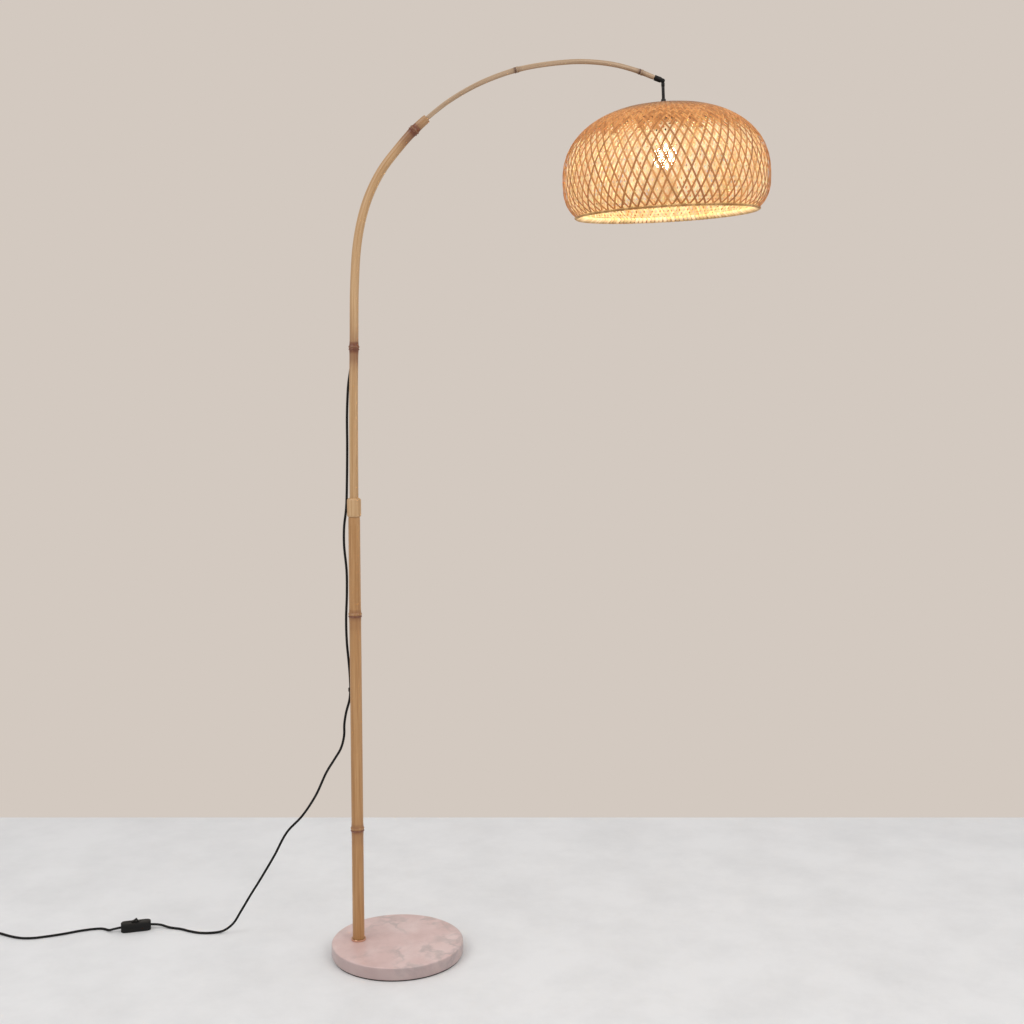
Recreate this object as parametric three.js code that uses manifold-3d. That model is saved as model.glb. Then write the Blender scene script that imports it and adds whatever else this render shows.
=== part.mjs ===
// Arc floor lamp of bamboo, with a double woven bamboo shade and a round marble foot.
// Units are millimetres and +Z is up. The origin is the centre of the foot's underside.
// The arc lies in the XZ plane and reaches toward +X.

import * as THREE from 'three';
import { mergeVertices } from 'three/addons/utils/BufferGeometryUtils.js';
import Module from 'manifold-3d';

const wasm = await Module();
wasm.setup();

// Driving dimensions shared by many pieces
const gap = 0.3;
const overrun = 2;
const weldTolerance = 0.0001;
const fineSides = 44;
const poleSides = 12;
const boreSides = 6;
const turnedSides = 16;
const smallSides = 10;

// Marble foot
const footRadius = 130;
const stoneHeight = 26;
const stoneTopEase = 4;
const stoneLowerEase = 1.5;
const padThickness = 1.7;
const padInset = 3;
const poleOffset = 77.5;
const recessRadius = 16;
const recessDepth = 10;

// Stud that ties the pole to the foot
const studRadius = 5;
const studGrip = 38;
const studEndBelowNut = 1.2;
const washerRadius = 13;
const washerThickness = 1.6;
const nutCornerRadius = 9.8;
const nutHeight = 6;
const insertRadius = 7.2;
const insertLength = 60;

// Bamboo culms
const culmFootRadius = 12;
const culmTopRadius = 11.7;
const lowerCulmTop = 871;
const tenonRadius = 9.6;
const tenonLength = 14;
const middleCulmRadius = 8.7;
const middleMouthRadius = 8.6;
const mouthEase = 1.2;
const armSocketRadius = 4.3;
const armMiddleRadius = 5.4;
const armTipRadius = 4.9;
const armSpigotRadius = 4;
const armSpigotLength = 11.4;
const armSocketDepth = 42;
const leadBoreRadius = 3.2;

// Line of the bend: it starts upright above the lower culm and ends at the shade's pivot
const uprightAboveCulm = 229;
const archReach = 587.3;
const archRise = 626.8;
const middleCulmRun = 776;
const bendShares = [
  [0.0022, 0], [0.0056, 0.1755], [0.0089, 0.335], [0.0179, 0.4547], [0.0358, 0.5424],
  [0.0604, 0.611], [0.1005, 0.682], [0.1592, 0.7522], [0.2035, 0.7977], [0.2477, 0.8352],
  [0.3141, 0.8831], [0.3908, 0.9253], [0.4674, 0.9564], [0.5491, 0.9796], [0.6462, 0.9944],
  [0.7415, 1], [0.8369, 0.9923], [0.9152, 0.9737], [0.9711, 0.9539], [1, 0.9438],
];

// Nodes of the culms
const lowerNodeHeights = [253, 679];
const middleNodeRise = 323;
const socketNodeSetback = 34;
const armNodeShares = [0.4191, 0.9391];
const nodeSwell = 1.7;
const armNodeSwell = 1.1;
const nodeHalfLength = 8;
const bendStep = 32;
const armStep = 34;

// Collar between lower and middle culm, and the tube inside it
const collarRadius = 13.5;
const collarLength = 36;
const collarChamfer = 3;
const collarUpperSeat = 18;
const spigotRadius = 4.5;
const spigotWall = 1.2;
const spigotHalfLength = 58;

// Ring round the culm's foot
const footRingWidth = 2.4;
const footRingHeight = 3.6;
const footRingEase = 1;

// Supply cord and its outlet in the middle culm
const cordRadius = 2.4;
const cordSides = 8;
const cordSteps = 56;
const leadSteps = 18;
const outletRadius = 3.3;
const outletSlant = THREE.MathUtils.degToRad(20);
const outletTurn = THREE.MathUtils.degToRad(125);
const outletRun = 26;
const outletStraight = 20;
const outletAboveNode = 2;
const leadSides = 6;

// Arm end, with the pivot that the shade tilts on
const sleeveRadius = 5.2;
const sleeveLength = 17;
const sleeveSetback = 4.3;
const sleeveEndWall = 1.4;
const earRadius = 3.6;
const earOuter = 3.6;
const tongueHalf = 1.7;
const tongueRadius = 3.3;
const pinRadius = 1;
const pinHeadRadius = 1.9;
const pinHeadHeight = 0.8;
const shadeTilt = THREE.MathUtils.degToRad(2.7);
const shadeRoll = THREE.MathUtils.degToRad(3.1);

// Drop tube and what it passes
const stemHalfWidth = 2.8;
const neckTop = 4.2;
const neckBottom = 10;
const neckRadius = 3.3;
const tubeRadius = 2.5;
const tubeBore = 1.7;
const tubeSeat = 5.6;
const dropWireRadius = 1.2;
const grommetRadius = 4.9;
const grommetHeight = 3.8;
const grommetNeckRadius = 3.5;

// Woven shade, measured down from the pivot along its own axis
const crownDrop = 39;
const widestDrop = 179;
const weaveEndDrop = 244.5;
const shadeRadius = 196;
const mouthInset = 25;
const crownPower = 2.27;
const skirtPower = 2.9;
const weaveThickness = 1.8;
const layerSpacing = 6;
const innerEndRise = 1.5;
const denseCrownRun = 192;
const rimBandRun = 8;
const weaveAcross = 24;
const weaveRows = 4;
const stripShare = 0.27;
const crownRingShares = [0.42, 0.64, 0.84];
const profileSamples = 96;

// Bound rim
const rimHeight = 5.5;
const rimWall = 1.6;
const rimClearance = 1.1;

// Lampholder
const crownPlateRadius = 28;
const crownPlateThickness = 1.2;
const capRadius = 17.5;
const capLength = 19;
const capWall = 1.6;
const capShoulder = 6;
const dropNutRadius = 4.8;
const dropNutHeight = 3.5;
const bodyLength = 39;
const bodySpigotLength = 9;
const bodyMouthRadius = 16.6;
const insertDiscHeight = 7;
const socketWall = 2.6;
const contactRadius = 3;
const contactHeight = 1.8;

// Bulb
const screwRadius = 13.2;
const screwWall = 0.8;
const screwLength = 26;
const screwTipRadius = 4.5;
const screwShoulder = 4;
const threadDepth = 0.7;
const threadTurns = 3;
const globeRadius = 22.5;
const globeDrop = 139;
const neckGlassRadius = 11.6;
const glassWall = 0.9;
const glassSides = 16;
const stemRadius = 2.4;
const stemFootRadius = 8;
const stemLength = 50;
const filamentRadius = 0.9;
const filamentLength = 32;
const filamentCircle = 6;
const filamentCount = 4;

// Switch in the supply cord
const switchX = -552.5;
const switchY = 112;
const switchTurn = THREE.MathUtils.degToRad(16.4);
const switchLength = 60;
const switchWidth = 22;
const switchHeight = 18.5;
const switchEase = 1.6;
const switchCordReach = 5;
const channelClearance = 0.9;
const rockerLength = 17;
const rockerWidth = 9;
const rockerStand = 2.2;
const rockerDepth = 4.2;
const rockerTilt = THREE.MathUtils.degToRad(8);
const rockerPinRadius = 1;
const rockerPinSeat = 2;
const terminalLength = 5;
const terminalWidth = 3.6;
const terminalHeight = 2.4;
const terminalSpacing = 8;
const switchScrewRadius = 1.3;
const switchScrewHeadRadius = 2.5;
const switchScrewHeadHeight = 1.8;
const switchScrewSetback = 11;

// Coil in which the rest of the cord is put away, and the plug
const coilX = -880;
const coilY = 70;
const coilInnerRadius = 19.2;
const coilPitch = 5.4;
const coilTurns = 6.25;
const coilStepsPerTurn = 24;
const coilSides = 6;
const coilLayerGap = 0.5;
const coilTailLength = 40;
const coilTieThickness = 1;
const coilTieWidth = 8;
const coilTieFloorGap = 0.2;
const coilTieTurn = THREE.MathUtils.degToRad(-30);
const plugThickness = 13.6;
const plugWidth = 35;
const plugBackWidth = 14;
const plugLength = 33;
const plugEase = 1.5;
const plugPinRadius = 2;
const plugPinLength = 19;
const plugPinSpacing = 19;
const plugPinSeat = 4;
const reliefLength = 24;
const reliefEndRadius = 3.4;
const reliefRootRadius = 4.8;

// Clip that holds the cord to the culm
const clipHeight = 530;
const clipX = -89.8;
const clipY = 10;
const clipWall = 1.1;
const clipLength = 7;
const nailRadius = 0.8;
const nailDepth = 6;

// Sizes that follow from those above
const mouthRadius = shadeRadius - mouthInset;
const bendStart = lowerCulmTop + uprightAboveCulm;
const middleNodeHeight = lowerCulmTop + middleNodeRise;
const outletHeight = middleNodeHeight + outletAboveNode;
const stoneBottom = padThickness + gap;
const stoneTop = stoneBottom + stoneHeight;
const culmFoot = stoneTop + gap;
const collarBottom = lowerCulmTop + gap;
const collarTop = collarBottom + collarLength;
const middleCulmBottom = collarTop - collarUpperSeat + gap;
const poleX = -poleOffset;
const clipPoint = new THREE.Vector3(clipX, clipY, clipHeight);
const clipBore = cordRadius + 2 * gap;

// Finishes
const bamboo = { color: 0xc9a06c, roughness: 0.5, metalness: 0 };
const collarBamboo = { color: 0xbf935f, roughness: 0.5, metalness: 0 };
const weave = { color: 0xd9a866, roughness: 0.65, metalness: 0 };
const innerWeave = { color: 0xe8c383, roughness: 0.65, metalness: 0 };
const marble = { color: 0xd3b9b2, roughness: 0.35, metalness: 0 };
const felt = { color: 0x3a3533, roughness: 0.95, metalness: 0 };
const copper = { color: 0xc98a62, roughness: 0.25, metalness: 1 };
const steel = { color: 0xb9babc, roughness: 0.35, metalness: 1 };
const brass = { color: 0xc8a24a, roughness: 0.3, metalness: 1 };
const blackMetal = { color: 0x1a1817, roughness: 0.4, metalness: 0.3 };
const blackPlastic = { color: 0x141414, roughness: 0.45, metalness: 0 };
const blackRubber = { color: 0x101010, roughness: 0.6, metalness: 0 };
const ceramic = { color: 0xe9e6df, roughness: 0.4, metalness: 0 };
const glass = { color: 0xfff4dc, roughness: 0.1, metalness: 0, transparent: true, opacity: 0.5 };
const glow = { color: 0xffd27a, roughness: 0.5, metalness: 0, emissive: 0xffc060 };

const lamp = new THREE.Group();

function addPiece(parent, name, geometry, finish) {
  const mesh = new THREE.Mesh(geometry, new THREE.MeshStandardMaterial(finish));
  mesh.name = name;
  parent.add(mesh);
  return mesh;
}

// Closed bodies: shared corners, no flat slivers, faces pointing out

function bodyFrom(positions, triangles) {
  const kept = [];
  let volume = 0;
  const a = new THREE.Vector3();
  const b = new THREE.Vector3();
  const c = new THREE.Vector3();
  for (let i = 0; i < triangles.length; i += 3) {
    const [p, q, r] = [triangles[i], triangles[i + 1], triangles[i + 2]];
    if (p === q || q === r || r === p) continue;
    kept.push(p, q, r);
    a.fromArray(positions, 3 * p);
    b.fromArray(positions, 3 * q);
    c.fromArray(positions, 3 * r);
    volume += a.dot(b.cross(c));
  }
  if (volume < 0) kept.reverse();
  const geometry = new THREE.BufferGeometry();
  geometry.setAttribute('position', new THREE.BufferAttribute(new Float32Array(positions), 3));
  geometry.setIndex(kept);
  return geometry;
}

function closed(geometry) {
  const bare = geometry.clone();
  bare.deleteAttribute('normal');
  bare.deleteAttribute('uv');
  const welded = mergeVertices(bare, weldTolerance);
  return bodyFrom(Array.from(welded.attributes.position.array), Array.from(welded.index.array));
}

function solidOf(geometry) {
  const body = closed(geometry);
  return new wasm.Manifold(new wasm.Mesh({
    numProp: 3,
    vertProperties: new Float32Array(body.attributes.position.array),
    triVerts: new Uint32Array(body.index.array),
  }));
}

function geometryOf(solid) {
  const mesh = solid.getMesh();
  const positions = Array.from(mesh.vertProperties);
  return bodyFrom(positions, Array.from(mesh.triVerts));
}

function joinAll(parts) {
  return parts.reduce((whole, part) => whole.add(part));
}

function cutAll(solid, cutters) {
  return cutters.reduce((rest, cutter) => rest.subtract(cutter), solid);
}

// A turned body about +Z. The profile is a list of [radius, height].
function turned(profile, sides) {
  const onAxis = profile[0][0] === 0 && profile[profile.length - 1][0] === 0;
  const loop = onAxis ? profile : [...profile, profile[0]];
  const points = loop.map(([radius, height]) => new THREE.Vector2(radius, height));
  return closed(new THREE.LatheGeometry(points, sides).rotateX(Math.PI / 2).rotateZ(Math.PI / 2));
}

function rod(radius, bottom, top, sides) {
  return turned([[0, bottom], [radius, bottom], [radius, top], [0, top]], sides);
}

function pipe(radius, bore, bottom, top, sides) {
  return turned([[bore, bottom], [radius, bottom], [radius, top], [bore, top]], sides);
}

function block(x0, x1, y0, y1, z0, z1) {
  const box = new THREE.BoxGeometry(x1 - x0, y1 - y0, z1 - z0);
  return box.translate((x0 + x1) / 2, (y0 + y1) / 2, (z0 + z1) / 2);
}

// A plate of an outline in the XZ plane, as thick along Y as twice halfThickness
function plateAcrossY(shape, halfThickness, curveSegments) {
  const plate = new THREE.ExtrudeGeometry(shape, {
    depth: 2 * halfThickness, bevelEnabled: false, curveSegments,
  });
  return plate.translate(0, 0, -halfThickness).rotateX(Math.PI / 2);
}

// Path helpers: a path gives a point and a direction at each run of its length

function smoothPath(points) {
  const curve = new THREE.CatmullRomCurve3(points, false, 'centripetal');
  curve.arcLengthDivisions = 2400;
  const length = curve.getLength();
  return {
    length,
    at: (run) => curve.getPointAt(THREE.MathUtils.clamp(run / length, 0, 1)),
    along: (run) => curve.getTangentAt(THREE.MathUtils.clamp(run / length, 0, 1)),
  };
}

// A body turned about a path in the XZ plane. The profile is a list of [run, radius], or
// [run, radius, sides] where a ring has fewer sides than the others.
function turnedAlong(path, profile, sides) {
  const across = new THREE.Vector3(0, 1, 0);
  const positions = [];
  const rings = [];
  for (const [run, radius, ringSides = sides] of profile) {
    const centre = path.at(run);
    const outward = across.clone().cross(path.along(run)).normalize();
    const count = radius === 0 ? 1 : ringSides;
    const ring = [];
    for (let i = 0; i < count; i++) {
      const turn = (2 * Math.PI * i) / ringSides;
      const corner = centre.clone();
      corner.addScaledVector(outward, radius * Math.cos(turn));
      corner.addScaledVector(across, radius * Math.sin(turn));
      ring.push(positions.length / 3);
      positions.push(corner.x, corner.y, corner.z);
    }
    rings.push(ring);
  }
  const open = profile[0][1] === 0 && profile[profile.length - 1][1] === 0;
  const pairs = open ? rings.length - 1 : rings.length;
  const triangles = [];
  for (let j = 0; j < pairs; j++) {
    stitchRings(triangles, rings[j], rings[(j + 1) % rings.length]);
  }
  return bodyFrom(positions, triangles);
}

// Joins two rings of like count, a ring and one of half its count, or a ring and a point
function stitchRings(triangles, lower, upper) {
  const count = Math.max(lower.length, upper.length);
  const pick = (ring, i) => ring[Math.floor(((i % count) * ring.length) / count)];
  for (let i = 0; i < count; i++) {
    const [a, b] = [pick(lower, i), pick(lower, i + 1)];
    const [c, d] = [pick(upper, i + 1), pick(upper, i)];
    if (a !== b) triangles.push(a, b, c);
    if (c !== d) triangles.push(a, c, d);
  }
}

function evenRuns(from, to, step) {
  const count = Math.max(1, Math.round(Math.abs(to - from) / step));
  return Array.from({ length: count + 1 }, (_, i) => from + ((to - from) * i) / count);
}

// Bamboo: a tapering radius with a ridge at every node

const ridgeShares = [[-1, 0], [-0.32, 0.3], [-0.1, 1], [0.12, 0.9], [0.32, 0.35], [1, 0]];

function culmSurface(from, to, step, taper, nodes, swell) {
  const runs = new Map();
  for (const run of evenRuns(from, to, step)) {
    const nearNode = nodes.some((node) => Math.abs(run - node) < 1.4 * nodeHalfLength);
    if (!nearNode || run === from || run === to) runs.set(run, taper(run));
  }
  for (const node of nodes) {
    for (const [place, height] of ridgeShares) {
      const run = node + place * nodeHalfLength;
      runs.set(run, taper(run) + height * swell);
    }
  }
  return [...runs.entries()].sort((p, q) => p[0] - q[0]);
}

const bendPoints = bendShares.map(([reach, rise]) => (
  new THREE.Vector3(poleX + reach * archReach, 0, bendStart + rise * archRise)
));
const uprightHeights = [culmFoot, (culmFoot + lowerCulmTop) / 2, lowerCulmTop];
const uprightPoints = uprightHeights.map((height) => new THREE.Vector3(poleX, 0, height));
const spine = smoothPath([...uprightPoints, ...bendPoints]);

// Runs along the spine, measured from the lower culm's foot
const middleStart = middleCulmBottom - culmFoot;
const middleEnd = middleStart + middleCulmRun;
const armStart = middleEnd - armSocketDepth + gap;
const armEnd = spine.length - sleeveSetback - sleeveEndWall - gap;
const armShoulder = armEnd - armSpigotLength;
const leadStartRun = outletHeight - culmFoot;
const leadEndRun = armEnd - gap;

// Rings of the bores and of what lies in them share their runs, so that they stay concentric
const boreTopRun = armStart - gap;
const middleBoreRuns = evenRuns(leadStartRun, boreTopRun, bendStep);
const socketRuns = evenRuns(boreTopRun, middleEnd, bendStep / 2);
const armBoreRuns = evenRuns(armStart, armEnd, armStep);

// Marble foot and its fixings

function makeStone() {
  const ease = stoneTopEase;
  const profile = [
    [0, stoneBottom],
    [footRadius - stoneLowerEase, stoneBottom],
    [footRadius, stoneBottom + stoneLowerEase],
  ];
  const arcSteps = 3;
  for (let i = 0; i <= arcSteps; i++) {
    const turn = (Math.PI / 2) * (i / arcSteps);
    const radius = footRadius - ease + ease * Math.cos(turn);
    profile.push([radius, stoneTop - ease + ease * Math.sin(turn)]);
  }
  profile.push([0, stoneTop]);
  const hole = rod(studRadius + gap, stoneBottom - overrun, stoneTop + overrun, turnedSides);
  const recess = rod(recessRadius, stoneBottom - overrun, stoneBottom + recessDepth, turnedSides);
  const cutters = [hole, recess].map((cutter) => solidOf(cutter.translate(poleX, 0, 0)));
  return geometryOf(cutAll(solidOf(turned(profile, fineSides)), cutters));
}

const recessCeiling = stoneBottom + recessDepth;
const washerTop = recessCeiling - gap;
const nutTop = washerTop - washerThickness - gap;
const studBottom = nutTop - nutHeight - studEndBelowNut;

const footGroup = new THREE.Group();
footGroup.position.set(poleX, 0, 0);
lamp.add(footGroup);

addPiece(lamp, 'marble_base', makeStone(), marble);
addPiece(lamp, 'base_pad', rod(footRadius - padInset, 0, padThickness, fineSides), felt);
addPiece(
  footGroup, 'stud_washer',
  pipe(washerRadius, studRadius + gap, washerTop - washerThickness, washerTop, turnedSides), steel,
);
addPiece(footGroup, 'stud_nut', hexNut(nutCornerRadius, studRadius + gap, nutTop - nutHeight, nutTop), steel);
addPiece(footGroup, 'base_stud', rod(studRadius, studBottom, culmFoot + studGrip, turnedSides), steel);
addPiece(
  footGroup, 'foot_insert',
  pipe(insertRadius, studRadius + gap, culmFoot, culmFoot + insertLength, turnedSides), steel,
);
addPiece(footGroup, 'foot_ring', makeFootRing(), copper);

function hexNut(cornerRadius, bore, bottom, top) {
  const hexagon = solidOf(rod(cornerRadius, bottom, top, 6));
  return geometryOf(hexagon.subtract(solidOf(rod(bore, bottom - overrun, top + overrun, turnedSides))));
}

function makeFootRing() {
  const inner = culmFootRadius + gap;
  const outer = inner + footRingWidth;
  return turned([
    [inner, culmFoot], [outer, culmFoot], [outer, culmFoot + footRingHeight - footRingEase],
    [outer - footRingEase, culmFoot + footRingHeight], [inner, culmFoot + footRingHeight],
  ], turnedSides);
}

// Lower culm: bored below for the steel insert and above for the coupling tube

function lowerTaper(run) {
  const share = run / (lowerCulmTop - culmFoot);
  return THREE.MathUtils.lerp(culmFootRadius, culmTopRadius, share);
}

function makeLowerCulm() {
  const top = lowerCulmTop - culmFoot;
  const tenonTop = top + tenonLength;
  const spigotBottom = collarMiddle() - spigotHalfLength - gap - culmFoot;
  const nodes = lowerNodeHeights.map((height) => height - culmFoot);
  const profile = [
    [insertLength + gap, 0],
    [insertLength + gap, insertRadius + gap],
    [0, insertRadius + gap],
    ...culmSurface(0, top, lowerCulmTop / 4, lowerTaper, nodes, nodeSwell),
    [top, tenonRadius],
    [tenonTop, tenonRadius],
    [tenonTop, spigotRadius + gap],
    [spigotBottom, spigotRadius + gap],
    [spigotBottom, 0],
  ];
  const culm = solidOf(turnedAlong(spine, profile, poleSides));
  return geometryOf(culm.subtract(nailHole()));
}

function collarMiddle() {
  return (lowerCulmTop + tenonLength + middleCulmBottom) / 2;
}

// Collar over the tenon, and the steel tube that joins both culms inside it

function makeCollar() {
  const seatTop = collarBottom + tenonLength;
  const upperSeat = collarTop - collarUpperSeat;
  const upperBore = middleCulmRadius + gap;
  return turned([
    [tenonRadius + gap, collarBottom],
    [culmTopRadius + collarChamfer / 4, collarBottom],
    [collarRadius, collarBottom + collarChamfer],
    [collarRadius, collarTop - collarChamfer],
    [collarRadius - collarChamfer, collarTop],
    [upperBore, collarTop],
    [upperBore, upperSeat],
    [spigotRadius + gap, upperSeat],
    [spigotRadius + gap, seatTop],
    [tenonRadius + gap, seatTop],
  ], turnedSides);
}

addPiece(footGroup, 'coupling_collar', makeCollar(), collarBamboo);
addPiece(
  footGroup, 'coupling_tube',
  pipe(
    spigotRadius, spigotRadius - spigotWall,
    collarMiddle() - spigotHalfLength, collarMiddle() + spigotHalfLength, poleSides,
  ), steel,
);

// Middle culm: socket below, bore for the lead above, eased mouth that takes the arm

function middleTaper(run) {
  const share = (run - middleStart) / (middleEnd - middleStart);
  return THREE.MathUtils.lerp(middleCulmRadius, middleMouthRadius, share);
}

const outletDirection = new THREE.Vector3(
  Math.sin(outletSlant) * Math.cos(outletTurn),
  Math.sin(outletSlant) * Math.sin(outletTurn),
  -Math.cos(outletSlant),
);
const outletTop = spine.at(leadStartRun);

function outletCutter() {
  const drill = rod(outletRadius, 0, outletRun + outletStraight / 2, smallSides);
  const turn = new THREE.Quaternion().setFromUnitVectors(new THREE.Vector3(0, 0, 1), outletDirection);
  return drill.applyQuaternion(turn).translate(outletTop.x, outletTop.y, outletTop.z);
}

function makeMiddleCulm() {
  const socketTop = collarMiddle() + spigotHalfLength + gap - culmFoot;
  const nodes = [middleNodeHeight - culmFoot, middleEnd - socketNodeSetback];
  const outside = culmSurface(middleStart, middleEnd - mouthEase, bendStep, middleTaper, nodes, nodeSwell);
  const bore = middleBoreRuns.map((run) => [run, leadBoreRadius, boreSides]).reverse();
  const socket = socketRuns.map((run) => [run, armSocketRadius + gap]).reverse();
  const profile = [
    [socketTop, 0],
    [socketTop, spigotRadius + gap],
    [middleStart, spigotRadius + gap],
    ...outside,
    [middleEnd, middleMouthRadius - mouthEase],
    ...socket,
    ...bore,
    [leadStartRun, 0],
  ];
  const culm = solidOf(turnedAlong(spine, profile, poleSides));
  return geometryOf(culm.subtract(solidOf(outletCutter())));
}

// Arm: the thin culm that carries the shade, bored all through for the lead

function armTaper(run) {
  const share = (run - middleEnd) / (armShoulder - middleEnd);
  const rise = THREE.MathUtils.clamp(share / 0.35, 0, 1);
  const fall = THREE.MathUtils.clamp((share - 0.35) / 0.65, 0, 1);
  const thick = THREE.MathUtils.lerp(armSocketRadius, armMiddleRadius, rise);
  return thick + (armTipRadius - armMiddleRadius) * fall;
}

function makeArm() {
  const nodes = armNodeShares.map((share) => THREE.MathUtils.lerp(middleEnd, armShoulder, share));
  const outside = culmSurface(middleEnd, armShoulder, armStep, armTaper, nodes, armNodeSwell);
  const bore = armBoreRuns.map((run) => [run, leadBoreRadius - gap, boreSides]).reverse();
  const inSocket = socketRuns.filter((run) => run > armStart && run < middleEnd);
  const profile = [
    ...[armStart, ...inSocket].map((run) => [run, armSocketRadius]),
    ...outside,
    [armShoulder, armSpigotRadius],
    [armEnd, armSpigotRadius],
    ...bore,
  ];
  return turnedAlong(spine, profile, poleSides);
}

addPiece(lamp, 'lower_pole', makeLowerCulm(), bamboo);
addPiece(lamp, 'middle_pole', makeMiddleCulm(), bamboo);
addPiece(lamp, 'arm_pole', makeArm(), bamboo);

// Lead inside the culms, from the outlet to the arm's end

function makeArmLead() {
  const start = leadStartRun + cordRadius;
  const between = [...middleBoreRuns, ...armBoreRuns].filter((run) => run > start && run < leadEndRun);
  const runs = [start, ...between, leadEndRun];
  return turnedAlong(spine, [
    [start, 0],
    ...runs.map((run) => [run, cordRadius]),
    [leadEndRun, 0],
  ], leadSides);
}

function cordTube(points, radius, sides, steps) {
  const corners = Array.from({ length: sides }, (_, i) => {
    const turn = (2 * Math.PI * i) / sides;
    return new THREE.Vector2(radius * Math.cos(turn), radius * Math.sin(turn));
  });
  const route = new THREE.CatmullRomCurve3(points, false, 'centripetal');
  return new THREE.ExtrudeGeometry(new THREE.Shape(corners), {
    extrudePath: route, steps, bevelEnabled: false,
  });
}

addPiece(lamp, 'arm_lead', makeArmLead(), blackRubber);

// Arm end, built at the pivot with +X along the arm's last direction

const pivot = spine.at(spine.length);
const armDirection = spine.along(spine.length);
const sleeveGroup = new THREE.Group();
const armTurn = Math.atan2(-armDirection.z, armDirection.x);
sleeveGroup.position.copy(pivot);
sleeveGroup.rotation.set(shadeRoll, armTurn, 0, 'YXZ');
lamp.add(sleeveGroup);

function stadium(from, to, radius) {
  const shape = new THREE.Shape();
  shape.moveTo(from, -radius);
  shape.lineTo(to, -radius);
  shape.absarc(to, 0, radius, -Math.PI / 2, Math.PI / 2, false);
  shape.lineTo(from, radius);
  return shape;
}

function acrossY(geometry) {
  return geometry.rotateX(Math.PI / 2);
}

function makeSleeve() {
  const back = -sleeveLength;
  const front = -sleeveSetback;
  const barrel = rod(sleeveRadius, back, front, turnedSides).rotateY(Math.PI / 2);
  const bore = rod(armSpigotRadius + gap, back - overrun, front - sleeveEndWall, turnedSides);
  const ears = plateAcrossY(stadium(front - sleeveEndWall / 2, 0, earRadius), earOuter, smallSides);
  const slotHalf = tongueHalf + gap;
  const slotBack = -tongueRadius - gap;
  const slotReach = earRadius + overrun;
  const slot = block(slotBack, slotReach, -slotHalf, slotHalf, -slotReach, slotReach);
  const hole = acrossY(rod(pinRadius + gap, -earOuter - overrun, earOuter + overrun, smallSides));
  const outside = solidOf(barrel).add(solidOf(ears));
  const cutters = [bore.rotateY(Math.PI / 2), slot, hole];
  return geometryOf(cutAll(outside, cutters.map(solidOf)));
}

function makePivotPin() {
  const half = earOuter + gap;
  const outer = half + pinHeadHeight;
  return acrossY(turned([
    [0, -outer], [pinHeadRadius, -outer], [pinHeadRadius, -half], [pinRadius, -half],
    [pinRadius, half], [pinHeadRadius, half], [pinHeadRadius, outer], [0, outer],
  ], smallSides));
}

addPiece(sleeveGroup, 'arm_end_sleeve', makeSleeve(), blackPlastic);
addPiece(sleeveGroup, 'tilt_pin', makePivotPin(), blackMetal);

// Shade head: everything that tilts, built below the pivot along -Z

const headGroup = new THREE.Group();
headGroup.rotation.y = -armTurn - shadeTilt;
sleeveGroup.add(headGroup);

function makeTongue() {
  const eye = acrossY(rod(tongueRadius, -tongueHalf, tongueHalf, turnedSides));
  const stem = block(-stemHalfWidth, stemHalfWidth, -tongueHalf, tongueHalf, -neckTop - gap, 0);
  const neck = rod(neckRadius, -neckBottom, -neckTop, turnedSides);
  const hole = acrossY(rod(pinRadius + gap, -tongueHalf - overrun, tongueHalf + overrun, smallSides));
  const seat = rod(tubeRadius + gap, -neckBottom - overrun, -tubeSeat, smallSides);
  const whole = joinAll([eye, stem, neck].map(solidOf));
  return geometryOf(cutAll(whole, [hole, seat].map(solidOf)));
}

// Drops of the stacked pieces below the pivot
const outerInnerFace = crownDrop + weaveThickness;
const innerCrownDrop = outerInnerFace + gap;
const plateTop = innerCrownDrop + weaveThickness + gap;
const capTop = plateTop + crownPlateThickness + gap;
const dropNutTop = capTop + capWall + gap;
const tubeEnd = dropNutTop + dropNutHeight + overrun;
const bodyTop = capTop + capLength - bodySpigotLength;
const capMouth = capTop + capLength;
const bodyMouth = bodyTop + bodyLength;
const insertTop = bodyTop + gap;
const insertBottom = insertTop + insertDiscHeight;
const contactTop = insertBottom + gap;
const screwTop = contactTop + contactHeight + gap;
const screwEnd = screwTop + screwLength;

addPiece(headGroup, 'tilt_knuckle', makeTongue(), blackPlastic);
addPiece(headGroup, 'drop_tube', pipe(tubeRadius, tubeBore, -tubeEnd, -tubeSeat - gap, smallSides), blackMetal);
addPiece(
  headGroup, 'drop_wires',
  rod(dropWireRadius, -insertTop + gap, -tubeSeat - 2 * gap, smallSides), blackRubber,
);
addPiece(headGroup, 'crown_grommet', makeGrommet(), blackRubber);
addPiece(
  headGroup, 'drop_nut',
  hexNut(dropNutRadius, tubeRadius + gap, -dropNutTop - dropNutHeight, -dropNutTop), steel,
);

function makeGrommet() {
  const foot = -crownDrop + gap;
  const top = foot + grommetHeight;
  const bore = tubeRadius + gap;
  return turned([
    [bore, -plateTop + gap], [grommetNeckRadius, -plateTop + gap], [grommetNeckRadius, foot],
    [grommetRadius, foot], [grommetRadius, top - grommetHeight / 2],
    [grommetNeckRadius, top], [bore, top],
  ], turnedSides);
}

function makeHolderCap() {
  const inner = capRadius - capWall;
  return turned([
    [tubeRadius + gap, -capTop],
    [capRadius - capShoulder, -capTop],
    [capRadius, -capTop - capShoulder],
    [capRadius, -capMouth],
    [inner, -capMouth],
    [inner, -capTop - capShoulder],
    [inner - capShoulder + capWall, -capTop - capWall],
    [tubeRadius + gap, -capTop - capWall],
  ], turnedSides);
}

const socketRadius = screwRadius + gap;

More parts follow.
